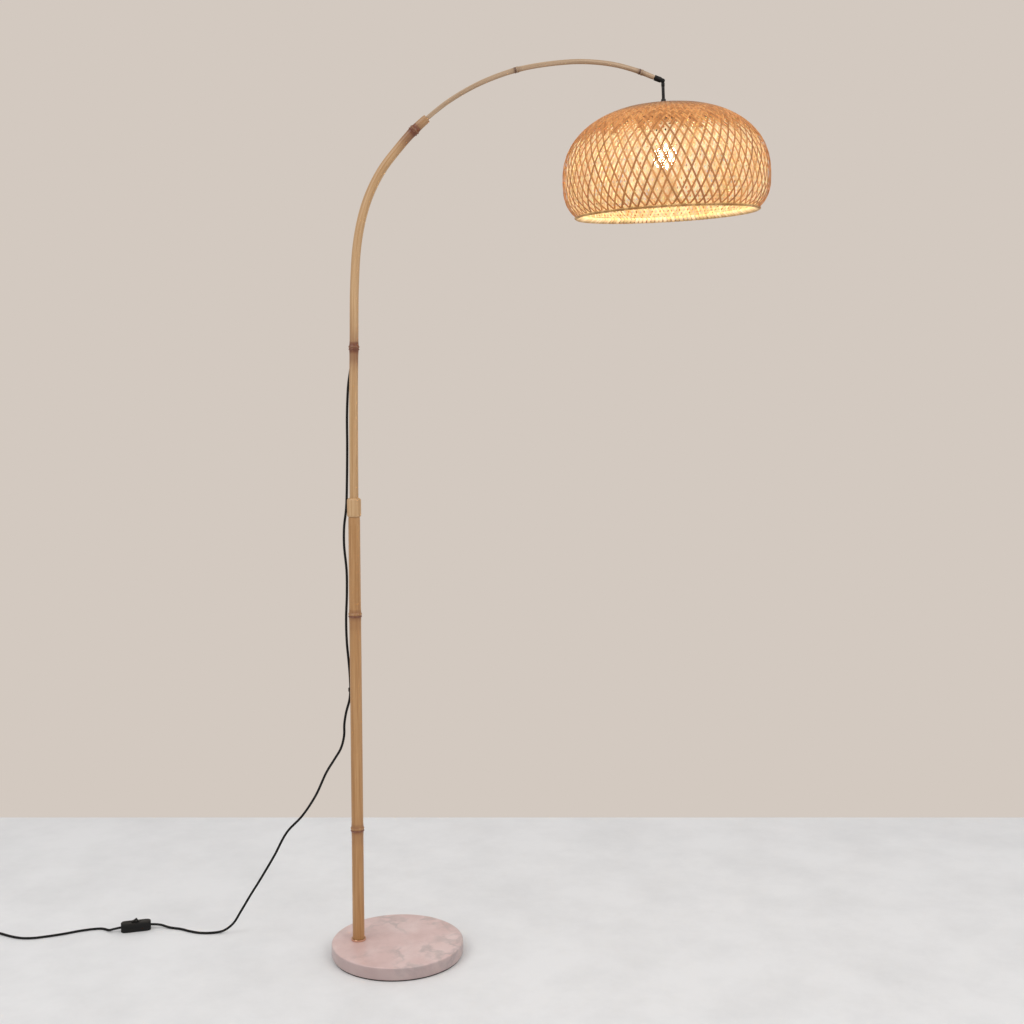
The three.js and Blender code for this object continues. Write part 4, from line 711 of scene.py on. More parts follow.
# Rings of strips over the crown's middle: nearest to the axis in mm, count, depth in mm
CROWN_RINGS = ((60, 48, 1.4), (40, 36, 1.7), (22, 24, 1.9), (8, 12, 2.1))
CROWN_WIDTH = 4.2 * MM

# Heights over which the crown's dust and painted shade, its glow, and its painted shadow on the
# inner layer set in, as (start, reach) from the pivot
DUST_AND_SHADE_HEIGHTS = (-66 * MM, 20 * MM)
CROWN_GLOW_HEIGHTS = (-112 * MM, 16 * MM)
CROWN_SHADOW_HEIGHTS = (-100 * MM, 12 * MM)
NEAR_CROWN_HEIGHTS = (-134 * MM, 28 * MM)


class Outline:
    """Section of one woven layer: radius, drop and inward direction along its run from the axis."""

    def __init__(self, radius, crown, widest, end, end_radius):
        self.points = []
        steps = 400
        for i in range(steps + 1):
            turn = math.pi / 2 * i / steps
            across = radius * math.sin(turn) ** (2 / CROWN_POWER)
            below = (widest - crown) * max(math.cos(turn), 0) ** (2 / CROWN_POWER)
            self.points.append((across, -(widest - below)))
        skirt_share = (1 - (end_radius / radius) ** SKIRT_POWER) ** (1 / SKIRT_POWER)
        reach = (end - widest) / skirt_share
        for i in range(1, steps + 1):
            drop = widest + (end - widest) * i / steps
            share = ((drop - widest) / reach) ** SKIRT_POWER
            self.points.append((radius * (1 - share) ** (1 / SKIRT_POWER), -drop))
        self.runs = [0]
        for (r0, z0), (r1, z1) in zip(self.points, self.points[1:]):
            self.runs.append(self.runs[-1] + math.hypot(r1 - r0, z1 - z0))
        self.length = self.runs[-1]

    def at(self, run):
        """(radius, height, radius step, height step) at a run; the steps are a unit direction."""
        i, share = stretch_at(self.runs, run)
        (r0, z0), (r1, z1) = self.points[i], self.points[i + 1]
        span = self.runs[i + 1] - self.runs[i]
        return r0 + (r1 - r0) * share, z0 + (z1 - z0) * share, (r1 - r0) / span, (z1 - z0) / span

    def run_at_radius(self, radius):
        """Run at which the crown reaches a radius."""
        for run, (r, _) in zip(self.runs, self.points):
            if r >= radius:
                return run
        return self.length


OUTER_OUTLINE = Outline(196 * MM, 41.4 * MM, 179 * MM, 244.5 * MM, 171 * MM)
INNER_OUTLINE = Outline(190 * MM, 43.5 * MM, 179 * MM, 243 * MM, 165 * MM)


def strip_path(outline, closest, end_run, crossings, places):
    """Places of a strip that passes the axis at the closest radius, as (run, azimuth, side).

    Its angle to the meridian has sine closest / radius, as a stretched strip lies. The places are
    evenly spaced in azimuth, a few to each crossing."""
    start_run = outline.run_at_radius(closest)
    steps = 1600
    reach = math.sqrt(end_run - start_run)
    table = [(0.0, start_run)]
    azimuth = 0.0
    for i in range(1, steps + 1):
        u0 = reach * (i - 1) / steps
        u1 = reach * i / steps
        u = (u0 + u1) / 2
        radius = max(outline.at(start_run + u * u)[0], closest * 1.0000001)
        slope = closest / (radius * math.sqrt(radius * radius - closest * closest))
        azimuth += slope * 2 * u * (u1 - u0)
        table.append((azimuth, start_run + u1 * u1))
    spacing = math.pi / crossings / places
    count = int(azimuth / spacing)
    half = []
    k = 0
    for i in range(1, count + 1):
        target = i * spacing
        while table[k + 1][0] < target:
            k += 1
        (a0, r0), (a1, r1) = table[k], table[k + 1]
        half.append((r0 + (r1 - r0) * (target - a0) / (a1 - a0), target))
    half.append((end_run, azimuth))
    path = [(run, -turn, -1) for run, turn in reversed(half)]
    path.append((start_run, 0.0, 1))
    path += [(run, turn, 1) for run, turn in half]
    return path


def make_strip(outline, closest, end_run, crossings, places, width, thickness, inset=STRIP_INSET):
    """One strip, made from a grid: it goes over and under each strip that it crosses, and is
    planed narrower where its neighbours crowd it."""
    pairs = []
    doubled = []
    east = Vector((0, 1, 0))
    for run, azimuth, side in strip_path(outline, closest, end_run, crossings, places):
        radius, height, out, down = outline.at(run)
        meridian = Vector((out, 0, down))
        normal = Vector((-down, 0, out))
        sine = min(closest / radius, 1)
        cosine = math.sqrt(1 - sine * sine)
        along = meridian * cosine * side + east * sine
        across = normal.cross(along)
        phase = crossings * azimuth
        if abs(azimuth) < math.pi / crossings:
            rise = -math.sin(phase / 2)
        else:
            rise = math.cos(phase) * side
        room = math.sqrt(max(radius * radius - closest * closest, 0)) * 2 * math.pi / crossings
        local = width * min(max(room / width, 0.45), 1)
        centre = Vector((radius, 0, height)) + normal * (rise * STRIP_LIFT - inset)
        turn = Matrix.Rotation(azimuth, 3, "Z")
        pairs.append([turn @ (centre + across * local * (k - 0.5)) for k in (0, 1)])
        doubled.append(ramp_up(abs(rise), 0.6, 0.35))
    return ribbon("strip", pairs, thickness, doubled=doubled)


def round_the_axis(name, strip, count, turn, seed, jitter, glow_at, dust_and_shade_at=None):
    """Copies a strip round the shade's axis as one piece, each copy with a tone of its own. Less
    light comes through where two strips cross."""
    chance = random.Random(seed)
    copies = [add_object("strip", strip.data.copy()) for i in range(count - 1)] + [strip]
    for i, copy in enumerate(copies):
        azimuth = 2 * math.pi * i / count + turn + chance.uniform(-jitter, jitter)
        copy.data.transform(Matrix.Rotation(azimuth, 4, "Z"))
        mark(copy, "strip", [chance.random()] * len(copy.data.vertices))
    piece = join_all(name, copies)
    cover = piece.data.attributes.get("doubled")
    shares = [cell.value for cell in cover.data] if cover else [0] * len(piece.data.vertices)
    lit = []
    for share, vertex in zip(shares, piece.data.vertices):
        lit.append(glow_at(vertex.co, vertex.normal) * (1 - LOST_AT_CROSSING * share))
    mark(piece, "lit", lit)
    if dust_and_shade_at:
        mark(piece, "dust_and_shade", [dust_and_shade_at(vertex.co, vertex.normal) for vertex in piece.data.vertices])
    piece.data.transform(HEAD)
    smooth(piece, 60)
    return piece


# Sizes and colours that a user may change

def length_setting(name, description, size):
    """A length, given in millimetres."""
    return bpy.props.FloatProperty(name=name, description=description, default=size * MM, unit="LENGTH")


class LampWeaveSettings(bpy.types.PropertyGroup):
    """Strips of the woven shade."""

    outer_count: bpy.props.IntProperty(
        name="Outer strips", description="Strips in the outer layer, each crossing the crown once",
        default=70, min=12, max=120,
    )
    outer_closest: length_setting(
        "Outer closest radius", "How near the outer strips pass to the axis", 82,
    )
    outer_width: length_setting("Outer strip width", "Width of an outer strip", 3.4)
    dense_run: length_setting(
        "Dense crown", "How far down from the axis each strip has one on both sides", 189,
    )
    inner_count: bpy.props.IntProperty(
        name="Inner strips", description="Strips in the inner layer", default=140, min=12, max=180,
    )
    inner_closest: length_setting(
        "Inner closest radius", "How near the inner strips pass to the axis", 79,
    )
    inner_width: length_setting("Inner strip width", "Width of an inner strip", 3.5)
    thickness: length_setting("Strip thickness", "Thickness of every strip", 0.5)
    seed: bpy.props.IntProperty(
        name="Seed", description="Seed of the strips' small differences", default=7,
    )


class LampFinishSettings(bpy.types.PropertyGroup):
    """Finishes of the lamp and of the stage."""

    floor_colour: bpy.props.FloatVectorProperty(
        name="Floor", description="Colour of the floor", subtype="COLOR", size=4,
        default=linear("e3e1df"), min=0, max=1,
    )
    wall_colour: bpy.props.FloatVectorProperty(
        name="Backdrop", description="Colour behind the lamp", subtype="COLOR", size=4,
        default=linear("d3c9c0"), min=0, max=1,
    )
    bulb_glow: bpy.props.FloatProperty(
        name="Bulb glow", description="Strength of the lit bulb's glass", default=38, min=0,
    )
    bulb_power: bpy.props.FloatProperty(
        name="Bulb light", description="Light that the bulb gives to the shade", default=0.15,
        min=0, unit="POWER",
    )


class LAMP_OT_stage(bpy.types.Operator):
    """Sets up the camera, the floor, the backdrop colour and the studio light"""

    bl_idname = "lamp.add_stage"
    bl_label = "Stage"

    def execute(self, context):
        finishes = context.scene.lamp_finishes
        context.scene.view_settings.view_transform = "Standard"
        data = bpy.data.cameras.new("Camera")
        data.sensor_width = SENSOR_WIDTH
        data.lens = FOCAL_PIXELS / PICTURE_PIXELS * SENSOR_WIDTH
        camera = add_object("Camera", data)
        camera.location = CAMERA_PLACE
        camera.rotation_euler = (CAMERA_TILT, 0, 0)
        context.scene.camera = camera

        clear_selection()
        bpy.ops.mesh.primitive_grid_add(x_subdivisions=40, y_subdivisions=24, size=1)
        floor = context.object
        floor.name = "studio_floor"
        floor.scale = (8, 4.84, 1)
        floor.location = (0, -1.58, 0)
        settle(floor)
        # Painted concrete floor, rolled matt: near white with faint wide clouds and small specks
        material, add, shader = new_material("Painted concrete floor", roughness=0.6)
        place = add("ShaderNodeTexCoord")
        clouds = add(
            "ShaderNodeTexNoise", {"Scale": 5, "Detail": 6, "Roughness": 0.65},
            {"Vector": place.outputs["Object"]},
        )
        tone = add(
            "ShaderNodeValToRGB", links={"Fac": clouds}, stops=[(0.3, "f4f4f4"), (0.6, "ffffff")],
        )
        colour = add(
            "ShaderNodeMix", {"Factor": 1, 6: finishes.floor_colour}, {7: tone},
            data_type="RGBA", blend_type="MULTIPLY",
        )
        connect(shader, {"Base Color": colour.outputs[2]})
        paint(floor, material)

        world = bpy.data.worlds.new("Studio")
        world.use_nodes = True
        context.scene.world = world
        tree = world.node_tree
        add = functools.partial(add_node, tree)
        light = tree.nodes["Background"]
        light.inputs["Color"].default_value = linear("f4f6fa")
        light.inputs["Strength"].default_value = 0.75
        seen = add("ShaderNodeBackground", {"Color": finishes.wall_colour, "Strength": 1})
        rays = add("ShaderNodeLightPath")
        direct = add(
            "ShaderNodeMath", operation="MAXIMUM",
            links={0: rays.outputs["Is Camera Ray"], 1: rays.outputs["Is Glossy Ray"]},
        )
        shown = add(
            "ShaderNodeMath", operation="MAXIMUM",
            links={0: direct, 1: rays.outputs["Is Transmission Ray"]},
        )
        mixed = add("ShaderNodeMixShader", links={0: shown, 1: light, 2: seen})
        connect(tree.nodes["World Output"], {"Surface": mixed})

        self.add_panel("Key light", (-2.2, -2.2, 3.6), (0.1, 0, 0.8), 2.4, 56)
        self.add_panel("Fill light", (2.6, -2.2, 3.4), (0.2, 0, 0.9), 2.4, 52)
        return {"FINISHED"}

    def add_panel(self, name, place, target, size, power):
        """A large square lamp that faces a target."""
        data = bpy.data.lights.new(name, "AREA")
        data.size = size
        data.energy = power
        lamp = add_object(name, data)
        lamp.location = place
        direction = Vector(target) - Vector(place)
        lamp.rotation_euler = direction.to_track_quat("-Z", "Y").to_euler()


class LAMP_OT_cords(bpy.types.Operator):
    """Adds the supply cord from the culm to the switch, and the lead to its coil and plug"""

    bl_idname = "lamp.add_cords"
    bl_label = "Cords"

    def execute(self, context):
        # Extruded PVC: deep black and matt, with a dry fine grain
        rubber = grained_material(
            "Black PVC cord", "060606", "0c0c0c", 900, 0.6, 0.03 * MM, specular=0.25,
        )
        self.supply(rubber)
        self.lead(rubber)
        return {"FINISHED"}

    def switch_point(self, along):
        """Place on the cord's line through the switch, at a distance from its middle."""
        direction = Vector((math.cos(SWITCH_TURN), math.sin(SWITCH_TURN), 0))
        return SWITCH_PLACE + direction * along

    def supply(self, rubber):
        """The cord from its hole in the culm to the switch."""
        points = [OUTLET_TOP + OUTLET_DIRECTION * CORD_DIAMETER / 2, OUTLET]
        points.append(OUTLET + OUTLET_DIRECTION * OUTLET_STRAIGHT)
        points += [Vector(place) * MM for place in CORD_ROUTE]
        points += [self.switch_point(SWITCH_HALF), self.switch_point(SWITCH_HALF - SWITCH_CORD_REACH)]
        line = smooth_line(points, 4 * MM)
        cord = curve_through("supply_flex", line, CORD_DIAMETER / 2, sides=12)
        dress(cord, rubber, "stand", "black_rubber", "supply_cord")

    def lead(self, rubber):
        """The cord from the switch to its coil and plug."""
        coil = self.coil_line()
        points = [self.switch_point(SWITCH_CORD_REACH - SWITCH_HALF), self.switch_point(-SWITCH_HALF)]
        points += [Vector(place) * MM for place in LEAD_ROUTE]
        points += [coil[0] + Vector((2 * CORD_DIAMETER, 0, 0)), coil[0]]
        line = smooth_line(points, 4 * MM) + coil[1:]
        cord = curve_through("plug_flex", line, CORD_DIAMETER / 2, sides=10)
        dress(cord, rubber, "stand", "black_rubber", "plug_lead", "cord_coil")

    def eased(self, *nodes):
        """The fittings that stand for the given nodes."""
        return [bpy.data.objects[node + "_eased"] for node in nodes]

    def coil_line(self):
        """The coil's line from its entry to the plug."""
        half = COIL_TURNS / 2
        steps = round(COIL_TURNS * 36)
        loops = []
        for i in range(steps + 1):
            turns = COIL_TURNS * i / steps
            radius = COIL_INNER + COIL_PITCH * abs(turns - half)
            # Half a turn in the coil's middle climbs from its lower layer to its upper one
            climb = soft_step(ramp_up(turns, half - 0.25, 0.5))
            angle = math.pi / 2 + 2 * math.pi * turns
            height = COIL_LOW + (COIL_HIGH - COIL_LOW) * climb
            place = Vector((radius * math.cos(angle), radius * math.sin(angle), height))
            loops.append(COIL_CENTRE + place)
        entry = loops[0] + Vector((CORD_DIAMETER, 0, 0))
        tail = []
        for share in (0.15, 0.3, 0.4, 0.5, 0.6, 0.7):
            point = loops[-1] - Vector((0, COIL_TAIL * share, 0))
            point.z = COIL_HIGH + (PLUG_AXIS - COIL_HIGH) * soft_step(ramp_up(share, 0, 0.8))
            tail.append(point)
        last = loops[-1] - Vector((0, COIL_TAIL - CORD_DIAMETER, 0))
        last.z = PLUG_AXIS
        return [entry] + loops + tail + [last, last - Vector((0, CORD_DIAMETER, 0))]


class LAMP_OT_foot(bpy.types.Operator):
    """Adds the marble foot, its pad and the copper ring round the culm"""

    bl_idname = "lamp.add_foot"
    bl_label = "Marble foot"

    def execute(self, context):
        stone = turned("marble_foot", eased(metres(FOOT_SECTION), 4.4 * MM, 6), 160)
        smooth(stone)
        dress(stone, marble_material(), "stand", "marble", "marble_base")
        pad = turned("foot_pad", eased(metres(PAD_SECTION), 0.4 * MM, 2), 120)
        smooth(pad)
        # Needled felt: dark, dull fibres
        felt = grained_material("Needled black felt", "25211f", "3b3633", 1400, 0.92, 0.2 * MM)
        dress(pad, felt, "stand", "pad", "base_pad")
        ring = turned("copper_ring", eased(metres(RING_SECTION), 0.7 * MM, 3), 64)
        settle(ring, Matrix.Translation((POLE_X, 0, 0)))
        smooth(ring)
        # Spun and polished: pale rose metal with fine turning marks
        copper = grained_material("Spun copper", "dcb296", "e6c2aa", 700, 0.14, 0.02 * MM, 1.0)
        dress(ring, copper, "stand", "copper_ring", "foot_ring")
        return {"FINISHED"}


class LAMP_OT_culms(bpy.types.Operator):
    """Adds the three bamboo culms and the collar between the lower two"""

    bl_idname = "lamp.add_culms"
    bl_label = "Bamboo culms"

    def execute(self, context):
        deep = bamboo_material("Lacquered bamboo, deep tan", "bd9262", "ac7e4d", "92632f", "6a3518")
        skin = bamboo_material("Lacquered bamboo, tan", "c9a67a", "b79064", "9d7342", "6a3518")
        grey = bamboo_material("Lacquered bamboo, weathered", "c1a588", "ac9072", "8f7152", "5a3a26")
        lower = culm(
            "lower_culm", 0, LOWER_CULM_TOP - CULM_FOOT, lower_radius, LOWER_NODES,
            swell=1.8 * MM, burn=1, spread=1, end_scorch=0.3,
        )
        dress(lower, deep, "stand", "bamboo", "lower_pole")
        middle = culm(
            "middle_culm", MIDDLE_START, MIDDLE_END, middle_radius, MIDDLE_NODES,
            swell=2.1 * MM, burn=2, spread=2,
        )
        dress(middle, skin, "stand", "bamboo", "middle_pole")
        arm = culm(
            "arm_culm", MIDDLE_END - 3 * MM, ARM_SHOULDER, arm_radius, ARM_NODES,
            swell=1 * MM, burn=1.3, spread=0.4,
        )
        dress(arm, grey, "stand", "bamboo", "arm_pole")
        collar = turned("bamboo_collar", eased(metres(COLLAR_SECTION), 0.8 * MM, 3), 64)
        settle(collar, Matrix.Translation((POLE_X, 0, 0)))
        grain = []
        for vertex in collar.data.vertices:
            grain += [vertex.co.x - POLE_X + 0.1, vertex.co.y, vertex.co.z]
        mark(collar, "grain", grain, "FLOAT_VECTOR", "vector")
        smooth(collar)
        dress(collar, skin, "stand", "bamboo_collar", "coupling_collar")
        return {"FINISHED"}


class LAMP_OT_shade(bpy.types.Operator):
    """Adds both woven layers of the shade and the crown's close weave"""

    bl_idname = "lamp.add_shade"
    bl_label = "Woven shade"

    def execute(self, context):
        sizes = context.scene.lamp_weave
        outer_strip = strip_material(
            "Split bamboo, outer", "c8965a", "b07a42", "8f602c", "ff8f3c", "c8622a",
        )
        # The inner strips' tones are paler than the outer strips': painted light, as the bulb lights
        # them from inside
        inner_strip = strip_material(
            "Split bamboo, inner", "f6ebcf", "e9d5ae", "cfb07e", "ffe9b4", "ecb670",
        )

        def dust_and_shade(point, normal):
            """Dust and painted shade on the outer layer, at the top of the crown."""
            return min(ramp_up(point.z, *DUST_AND_SHADE_HEIGHTS), 0.85)

        def outer_glow(point, normal):
            """Light through the outer strips: strongest in the close crown above the bulb."""
            near_crown = soft_step(ramp_up(point.z, *CROWN_GLOW_HEIGHTS))
            return (0.17 + 0.1 * near_crown) * (1 - dust_and_shade(point, normal))

        def crown_shadow(point, normal):
            """How far the close crown covers the inner layer, which it does from outside only: the
            crown's painted shadow on it.
            """
            if normal.dot(point - GLOBE) < 0:
                return 0
            return ramp_up(point.z, *CROWN_SHADOW_HEIGHTS)

        def inner_glow(point, normal):
            """Light through the inner strips; on their inside the bulb's own light does most."""
            distance = (point - GLOBE).length
            near_crown = ramp_up(point.z, *NEAR_CROWN_HEIGHTS)
            direct = 0.15 if normal.dot(point - GLOBE) < 0 else 0.47 * (1 - 0.35 * near_crown)
            return min(direct * (0.17 / distance) ** 2, 0.55) * (1 - crown_shadow(point, normal))

        def shaded(point, normal):
            """Painted shade: brown of the inner strips under the close crown."""
            return 0.75 * crown_shadow(point, normal)

        strip = make_strip(
            OUTER_OUTLINE, sizes.outer_closest, OUTER_OUTLINE.length - 2 * MM,
            crossings=sizes.outer_count, places=4, width=sizes.outer_width, thickness=sizes.thickness,
        )
        outer = round_the_axis(
            "outer_weave", strip, sizes.outer_count, turn=0, seed=sizes.seed, jitter=0.004,
            glow_at=outer_glow, dust_and_shade_at=dust_and_shade,
        )
        dress(outer, outer_strip, "shade_head", "outer_weave", "shade_outer_weave")
        # The first half lies on one side of the long strips and the second half on the other side
        half = len(DENSE_LENGTHS) // 2
        for i, longer in enumerate(DENSE_LENGTHS):
            side = DENSE_SPACING if i < half else -DENSE_SPACING
            strip = make_strip(
                OUTER_OUTLINE, sizes.outer_closest + side, sizes.dense_run + longer * MM,
                crossings=sizes.outer_count, places=2, width=DENSE_WIDTH, thickness=sizes.thickness,
            )
            beside = round_the_axis(
                "dense_crown_%d" % (i + 1), strip, sizes.outer_count // half,
                turn=2 * math.pi * (i % half) / sizes.outer_count, seed=sizes.seed + 9 + i,
                jitter=0.002, glow_at=outer_glow, dust_and_shade_at=dust_and_shade,
            )
            dress(beside, outer_strip, "shade_head", "outer_weave")
        for quarter in range(4):
            strip = make_strip(
                INNER_OUTLINE, sizes.inner_closest, INNER_OUTLINE.length - 2 * MM,
                crossings=sizes.inner_count, places=4, width=sizes.inner_width,
                thickness=sizes.thickness,
            )
            inner = round_the_axis(
                "inner_weave_%d" % (quarter + 1), strip, sizes.inner_count // 4,
                turn=2 * math.pi * quarter / sizes.inner_count, seed=sizes.seed + 1 + quarter,
                jitter=0.002, glow_at=inner_glow, dust_and_shade_at=shaded,
            )
            dress(inner, inner_strip, "shade_head", "inner_weave", "shade_inner_weave")
        crowns = []
        for closest, count, depth in CROWN_RINGS:
            end_run = OUTER_OUTLINE.run_at_radius(min(closest + 44, 100) * MM)
            strip = make_strip(
                OUTER_OUTLINE, closest * MM, end_run, crossings=count, places=2, width=CROWN_WIDTH,
                thickness=sizes.thickness, inset=depth * MM,
            )
            crowns.append(round_the_axis(
                "crown_ring", strip, count, turn=0.02, seed=sizes.seed + closest, jitter=0.01,
                glow_at=outer_glow, dust_and_shade_at=dust_and_shade,
            ))
        crown = join_all("crown_weave", crowns)
        dress(crown, outer_strip, "shade_head", "outer_weave")
        return {"FINISHED"}


class LAMP_OT_rim(bpy.types.Operator):
    """Adds the shade's rim: two flat hoops bound with a bamboo strip"""

    bl_idname = "lamp.add_rim"
    bl_label = "Bound rim"

    def execute(self, context):
        # The binding's pale tones stand for the bulb's light on the rim's inside: painted light
        binding = strip_material("Bamboo binding", "dcb67c", "bc8c4e", "906030", "fff4c4", "fbe09a")
        outside = self.hoop("outer_hoop", OUTER_OUTLINE, 1.1, 2.4)
        inside = self.hoop("inner_hoop", INNER_OUTLINE, -4.6, -3.0)
        hoops = join_all("rim_hoops", [outside, inside])
        middle = (OUTER_OUTLINE.points[-1][0] + INNER_OUTLINE.points[-1][0]) / 2

        # The bulb lights the inner half of the rim
        def glow(point, normal):
            return 1.0 if math.hypot(point.x, point.y) < middle else 0

        # The hoops are darker than their binding, and less light comes through them
        lit = [0.4 * glow(vertex.co, vertex.normal) for vertex in hoops.data.vertices]
        mark(hoops, "strip", [0.25] * len(lit))
        mark(hoops, "lit", lit)
        hoops.data.transform(HEAD)
        smooth(hoops)
        dress(hoops, binding, "shade_head", "shade_binding", "shade_rim")
        wrap = self.wrap()
        wraps = round_the_axis(
            "rim_wraps", wrap, count=126, turn=0, seed=23, jitter=0.003, glow_at=glow,
        )
        dress(wraps, binding, "shade_head", "shade_binding")
        return {"FINISHED"}

    def hoop(self, name, outline, near, far):
        """A flat hoop 3.6 mm high at a layer's end, between two distances outward from it in mm."""
        corners = []
        for run, distance in ((3.6, near), (3.6, far), (0, far), (0, near)):
            radius, height, out, down = outline.at(outline.length - run * MM)
            corners.append((radius - down * distance * MM, height + out * distance * MM))
        corners.append(corners[0])
        return turned(name, eased(corners, 0.3 * MM, 2), 180)

    def wrap(self):
        """One turn of the binding strip round both hoops."""
        # Run back from the layer's end and distance outward from the layer, in mm
        loop = []
        for outline, run, distance in (
            (OUTER_OUTLINE, 3.9, 2.6), (OUTER_OUTLINE, 1.8, 2.8), (OUTER_OUTLINE, -0.4, 2.6),
            (INNER_OUTLINE, -0.7, -4.9), (INNER_OUTLINE, 1.8, -5.1), (INNER_OUTLINE, 3.9, -4.9),
        ):
            radius, height, out, down = outline.at(outline.length - run * MM)
            if run < 0:
                radius += out * run * -MM
                height += down * run * -MM
            loop.append(Vector((radius - down * distance * MM, 0, height + out * distance * MM)))
        loop.append(loop[0])
        width = 6.2 * MM
        slant = 1.6 * MM
        pairs = []
        for i, point in enumerate(loop):
            drift = slant * (i / (len(loop) - 1) - 0.5)
            pairs.append([point + Vector((0, width * (k - 0.5) + drift, 0)) for k in (0, 1)])
        return ribbon("rim_wrap", pairs, 0.4 * MM)


class LAMP_OT_bulb(bpy.types.Operator):
    """Adds the lit globe bulb and its light"""

    bl_idname = "lamp.add_bulb"
    bl_label = "Bulb"

    def execute(self, context):
        finishes = context.scene.lamp_finishes
        profile = metres(BULB_NECK_SECTION)
        for i in range(1, 25):
            turn = GLOBE_NECK + (math.pi - GLOBE_NECK) * i / 24
            profile.append((GLOBE_RADIUS * math.sin(turn), GLOBE_RADIUS * math.cos(turn) - GLOBE_DROP))
        profile[-1] = (0, -GLOBE_DROP - GLOBE_RADIUS)
        globe = turned("bulb_globe", profile, 64)
        # The neck inside the holder stays dark
        shares = [ramp_up(-vertex.co.z, 112 * MM, 10 * MM) for vertex in globe.data.vertices]
        mark(globe, "lit", [finishes.bulb_glow * (0.02 + 0.98 * share) for share in shares])
        settle(globe, HEAD)
        smooth(globe, 60)
        # Blown glass, frosted inside: an even warm white glow when lit, a soft gloss on its skin
        material, add, shader = new_material(
            "Frosted bulb glass", roughness=0.25, base_color=linear("fff6e4"),
        )
        place = add("ShaderNodeTexCoord")
        frost = add(
            "ShaderNodeTexNoise", {"Scale": 90, "Detail": 2}, {"Vector": place.outputs["Object"]},
        )
        warm = add("ShaderNodeValToRGB", links={"Fac": frost}, stops=[(0.3, "ffe6b0"), (0.7, "fff2d0")])
        shine = add("ShaderNodeAttribute", attribute_name="lit").outputs["Fac"]
        connect(shader, {"Emission Color": warm, "Emission Strength": shine})
        dress(globe, material, "shade_head", "bulb_glass", "bulb_glass")
        globe.visible_shadow = False
        data = bpy.data.lights.new("Bulb light", "POINT")
        data.energy = finishes.bulb_power
        data.color = linear("ffe2b4")[:3]
        data.shadow_soft_size = 20 * MM
        light = add_object("Bulb light", data)
        light.location = HEAD @ GLOBE
        light.visible_camera = False
        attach(light, "shade_head")
        return {"FINISHED"}


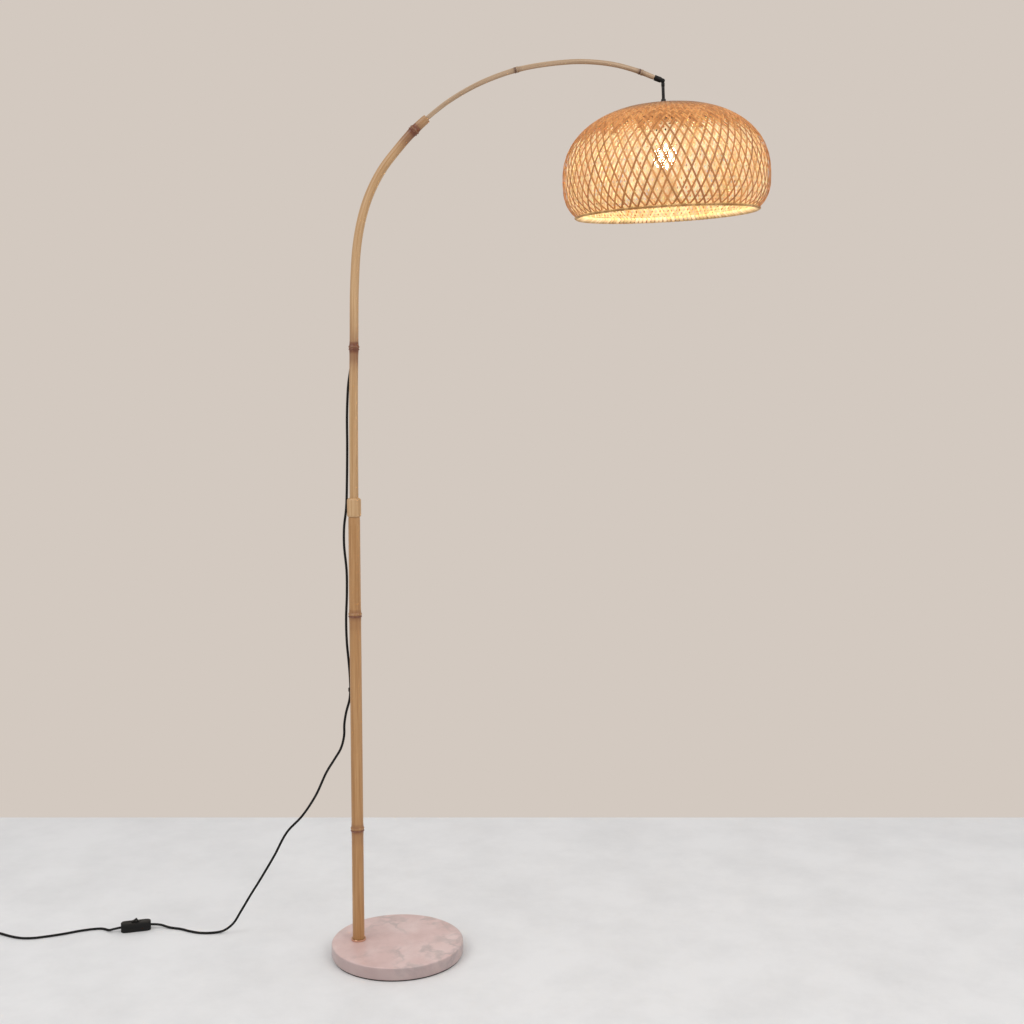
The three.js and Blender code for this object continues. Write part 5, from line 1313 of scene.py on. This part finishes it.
class LAMP_OT_fittings(bpy.types.Operator):
    """Adds the small moulded pieces: arm end, holder, clip, switch, tie and plug"""

    bl_idname = "lamp.add_fittings"
    bl_label = "Fittings"

    def execute(self, context):
        # Moulded in a spark-eroded tool: deep black with a fine satin grain
        plastic = grained_material(
            "Moulded black ABS", "090909", "131313", 1500, 0.5, 0.03 * MM, specular=0.25,
        )
        # Stoved lacquer over drawn tube: soft gloss with a slight orange peel
        metal = grained_material(
            "Black lacquered steel", "0d0c0c", "161514", 500, 0.42, 0.02 * MM, specular=0.3,
        )
        # Moulded soft PVC: greyer than the shells and matt
        rubber = grained_material("Moulded black PVC", "101010", "191919", 900, 0.58, 0.04 * MM)
        # Plated turned parts: bright metal with fine tool marks
        steel = grained_material("Zinc plated steel", "b4b6b8", "c8cacb", 600, 0.34, 0.02 * MM, 1.0)
        brass = grained_material("Turned brass", "c2a04c", "d0b062", 600, 0.3, 0.02 * MM, 1.0)
        # Fired and glazed, blown, and drawn: inside the holder and the bulb
        ceramic = grained_material("Glazed steatite", "e4e0d8", "efece6", 200, 0.35, 0.03 * MM)
        glass = grained_material("Clear glass", "f4efe4", "fbf7ee", 50, 0.12, 0.01 * MM)
        filament = grained_material("Lit filament", "ffcf80", "ffe0a0", 300, 0.5, 0.01 * MM)
        # Node, width of its eased edges in mm, finish, slot and body
        for node, width, material, slot, body in (
            ("arm_end_sleeve", 0.4, plastic, "black_plastic", "stand"),
            ("tilt_pin", 0.25, metal, "black_metal", "stand"),
            ("tilt_knuckle", 0.4, plastic, "black_plastic", "shade_head"),
            ("drop_tube", 0.2, metal, "black_metal", "shade_head"),
            ("crown_grommet", 0.4, rubber, "black_rubber", "shade_head"),
            ("crown_plate", 0.3, metal, "black_metal", "shade_head"),
            ("lampholder_cap", 0.5, plastic, "black_plastic", "shade_head"),
            ("lampholder_body", 0.4, plastic, "black_plastic", "shade_head"),
            ("cord_clip", 0.25, plastic, "black_plastic", "stand"),
            ("switch_upper_shell", 0.4, plastic, "black_plastic", "stand"),
            ("switch_lower_shell", 0.4, plastic, "black_plastic", "stand"),
            ("switch_rocker", 0.4, plastic, "black_plastic", "rocker"),
            ("coil_tie", 0.4, rubber, "black_rubber", "stand"),
            ("plug_relief", 0.2, rubber, "black_rubber", "stand"),
            ("plug_body", 0.5, rubber, "black_rubber", "stand"),
            ("plug_pin_1", 0.3, brass, "brass", "stand"),
            ("plug_pin_2", 0.3, brass, "brass", "stand"),
        ):
            widen = DROP_TUBE_WIDEN if node == "drop_tube" else 1
            eased_node(node, width, material, body, slot, widen)
        dress(self.ridge(), plastic, "rocker", "black_plastic")
        collar = turned("crown_collar", metres(CROWN_COLLAR_SECTION), 48)
        settle(collar, HEAD)
        soften(collar, 0.4 * MM)
        dress(collar, rubber, "shade_head", "black_rubber")
        for nodes, material in (
            (("stud_washer", "stud_nut", "base_stud", "foot_insert", "coupling_tube", "drop_nut",
              "clip_nail", "rocker_pin", "switch_screw_1", "switch_screw_2", "bulb_cap"), steel),
            (("arm_lead", "drop_wires"), rubber),
            (("centre_contact", "switch_terminal_1", "switch_terminal_2"), brass),
            (("lampholder_insert",), ceramic),
            (("bulb_stem",), glass),
            (("bulb_filaments",), filament),
        ):
            for node in nodes:
                paint(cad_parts[node], material)
        return {"FINISHED"}

    def ridge(self):
        """The ridge across the middle of the rocker, which the thumb pushes."""
        pairs = []
        for along, height in RIDGE_SECTION:
            pairs.append([Vector((along, RIDGE_LENGTH * (0.5 - k), height)) * MM for k in (0, 1)])
        piece = ribbon("rocker_ridge", pairs, 1.4 * MM, -1)
        soften(piece, 0.4 * MM)
        place = Matrix.Translation((SWITCH_PLACE.x, SWITCH_PLACE.y, ROCKER_AXIS))
        turn = Matrix.Rotation(SWITCH_TURN, 4, "Z") @ Matrix.Rotation(ROCKER_REST, 4, "Y")
        settle(piece, place @ turn)
        return piece


class LAMP_PT_panel(bpy.types.Panel):
    """Lists the lamp's pieces in the order in which they are built"""

    bl_idname = "LAMP_PT_panel"
    bl_label = "Bamboo Lamp"
    bl_space_type = "VIEW_3D"
    bl_region_type = "UI"
    bl_category = "Lamp"

    def draw(self, context):
        for operator in STEPS:
            self.layout.operator(operator.bl_idname)
        for settings in (context.scene.lamp_weave, context.scene.lamp_finishes):
            for name in settings.__annotations__:
                self.layout.prop(settings, name)


STEPS = (
    LAMP_OT_stage, LAMP_OT_fittings, LAMP_OT_cords, LAMP_OT_foot, LAMP_OT_culms, LAMP_OT_shade,
    LAMP_OT_rim, LAMP_OT_bulb,
)
CLASSES = (LampWeaveSettings, LampFinishSettings) + STEPS + (LAMP_PT_panel,)


def register():
    """Registers the classes and gives the scene its settings."""
    for cls in CLASSES:
        bpy.utils.register_class(cls)
    bpy.types.Scene.lamp_weave = bpy.props.PointerProperty(type=LampWeaveSettings)
    bpy.types.Scene.lamp_finishes = bpy.props.PointerProperty(type=LampFinishSettings)


def unregister():
    """Undoes what register did."""
    del bpy.types.Scene.lamp_finishes
    del bpy.types.Scene.lamp_weave
    for cls in reversed(CLASSES):
        bpy.utils.unregister_class(cls)


def main():
    """Builds the whole lamp and its stage."""
    register()
    bpy.ops.lamp.add_stage()
    bpy.ops.lamp.add_fittings()
    bpy.ops.lamp.add_cords()
    bpy.ops.lamp.add_foot()
    bpy.ops.lamp.add_culms()
    bpy.ops.lamp.add_shade()
    bpy.ops.lamp.add_rim()
    bpy.ops.lamp.add_bulb()
    clear_selection()


if __name__ == "__main__":
    main()
